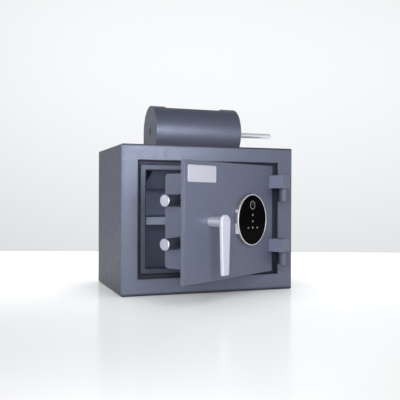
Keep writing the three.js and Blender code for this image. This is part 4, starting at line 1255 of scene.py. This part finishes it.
def patch_light(tree, way, direction, strength):
    """strength exp(k (d . direction - 1)) for a view direction d, worked out
    as exp(k d . direction + log strength - k)."""
    power = add_node(tree, "ShaderNodeMath", {"operation": "MULTIPLY_ADD"},
                     {0: reach_along(tree, way, direction), 1: PATCH_TIGHTNESS,
                      2: math.log(strength) - PATCH_TIGHTNESS})
    return calculate(tree, "EXPONENT", power.outputs[0])


def set_world():
    """One background whose strength is the sum of the patches, times a
    smooth step in the height of the view direction."""
    world = bpy.data.worlds.new("soft_room")
    bpy.context.scene.world = world
    world.use_nodes = True
    tree = world.node_tree
    way = add_node(tree, "ShaderNodeTexCoord").outputs["Generated"]
    total = 0.0
    for turn, rise, strength in PATCHES:
        total = calculate(tree, "ADD", total, patch_light(tree, way, facing(turn, rise), strength))
    height = add_node(tree, "ShaderNodeSeparateXYZ", inputs={"Vector": way}).outputs["Z"]
    shaded = calculate(tree, "MULTIPLY", total, change(tree, height, WALL_ENDS, WALL_SHARES))
    back = tree.nodes["Background"]
    back.inputs["Color"].default_value = ROOM_TINT
    tree.links.new(shaded, back.inputs["Strength"])
    return world


print("world:", set_world().name)

# %% [markdown]
# ## Lamps
#
# All lamps are neutral white. The main lamp is a small soft box close behind
# the camera, so it also reaches through the gap of the door. Weaker ones
# draw the bright band on the drum, open up the left side, the door and the
# upper left corner, and one stands behind for whoever walks round the safe.
# Those on the ring are given by turn, rise and watts, and the square ones by
# place, target, side and watts.

# %% Lamps
MIDDLE = (0.0, 0.0, 0.17)
LAMP_DISTANCE = 1.6
SOFT_BOX = (0.45, 0.3)
RING_LAMPS = {"key_beside_camera": (-19, 4, 8.1), "left_of_camera": (-35, 14, 6.0),
              "front_lamp": (-5, 4, 1.5), "band_lamp": (8, 4, 1.6), "back_lamp": (155, 6, 8.0)}
SQUARE_LAMPS = {"left_lamp": ((-1.8, 0.1, 0.5), MIDDLE, 0.6, 2.1),
                "door_lamp": ((-0.35, -0.95, 0.2), (-0.08, -0.25, 0.14), 0.25, 0.5),
                "corner_lamp": ((0.05, -0.8, 0.45), (-0.15, -0.12, 0.28), 0.25, 1.7)}


def soft_lamp(name, place, target, size, watts):
    """A rectangle of light that faces its target."""
    light = bpy.data.lights.new(name, "AREA")
    light.shape = "RECTANGLE"
    light.size, light.size_y = size
    light.energy = watts
    lamp = bpy.data.objects.new(name, light)
    lamp.location = place
    lamp.rotation_mode = "QUATERNION"
    lamp.rotation_quaternion = (Vector(target) - Vector(place)).to_track_quat("-Z", "Y")
    bpy.context.collection.objects.link(lamp)


for name, (turn, rise, watts) in RING_LAMPS.items():
    place = Vector(MIDDLE) + LAMP_DISTANCE * Vector(facing(turn, rise))
    soft_lamp(name, place, MIDDLE, SOFT_BOX, watts)
for name, (place, target, side, watts) in SQUARE_LAMPS.items():
    soft_lamp(name, place, target, (side, side), watts)
print("hung", len(RING_LAMPS) + len(SQUARE_LAMPS), "lamps")

# %% Sizes and the end
low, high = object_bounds()
print("dressed from", low[:], "to", high[:])
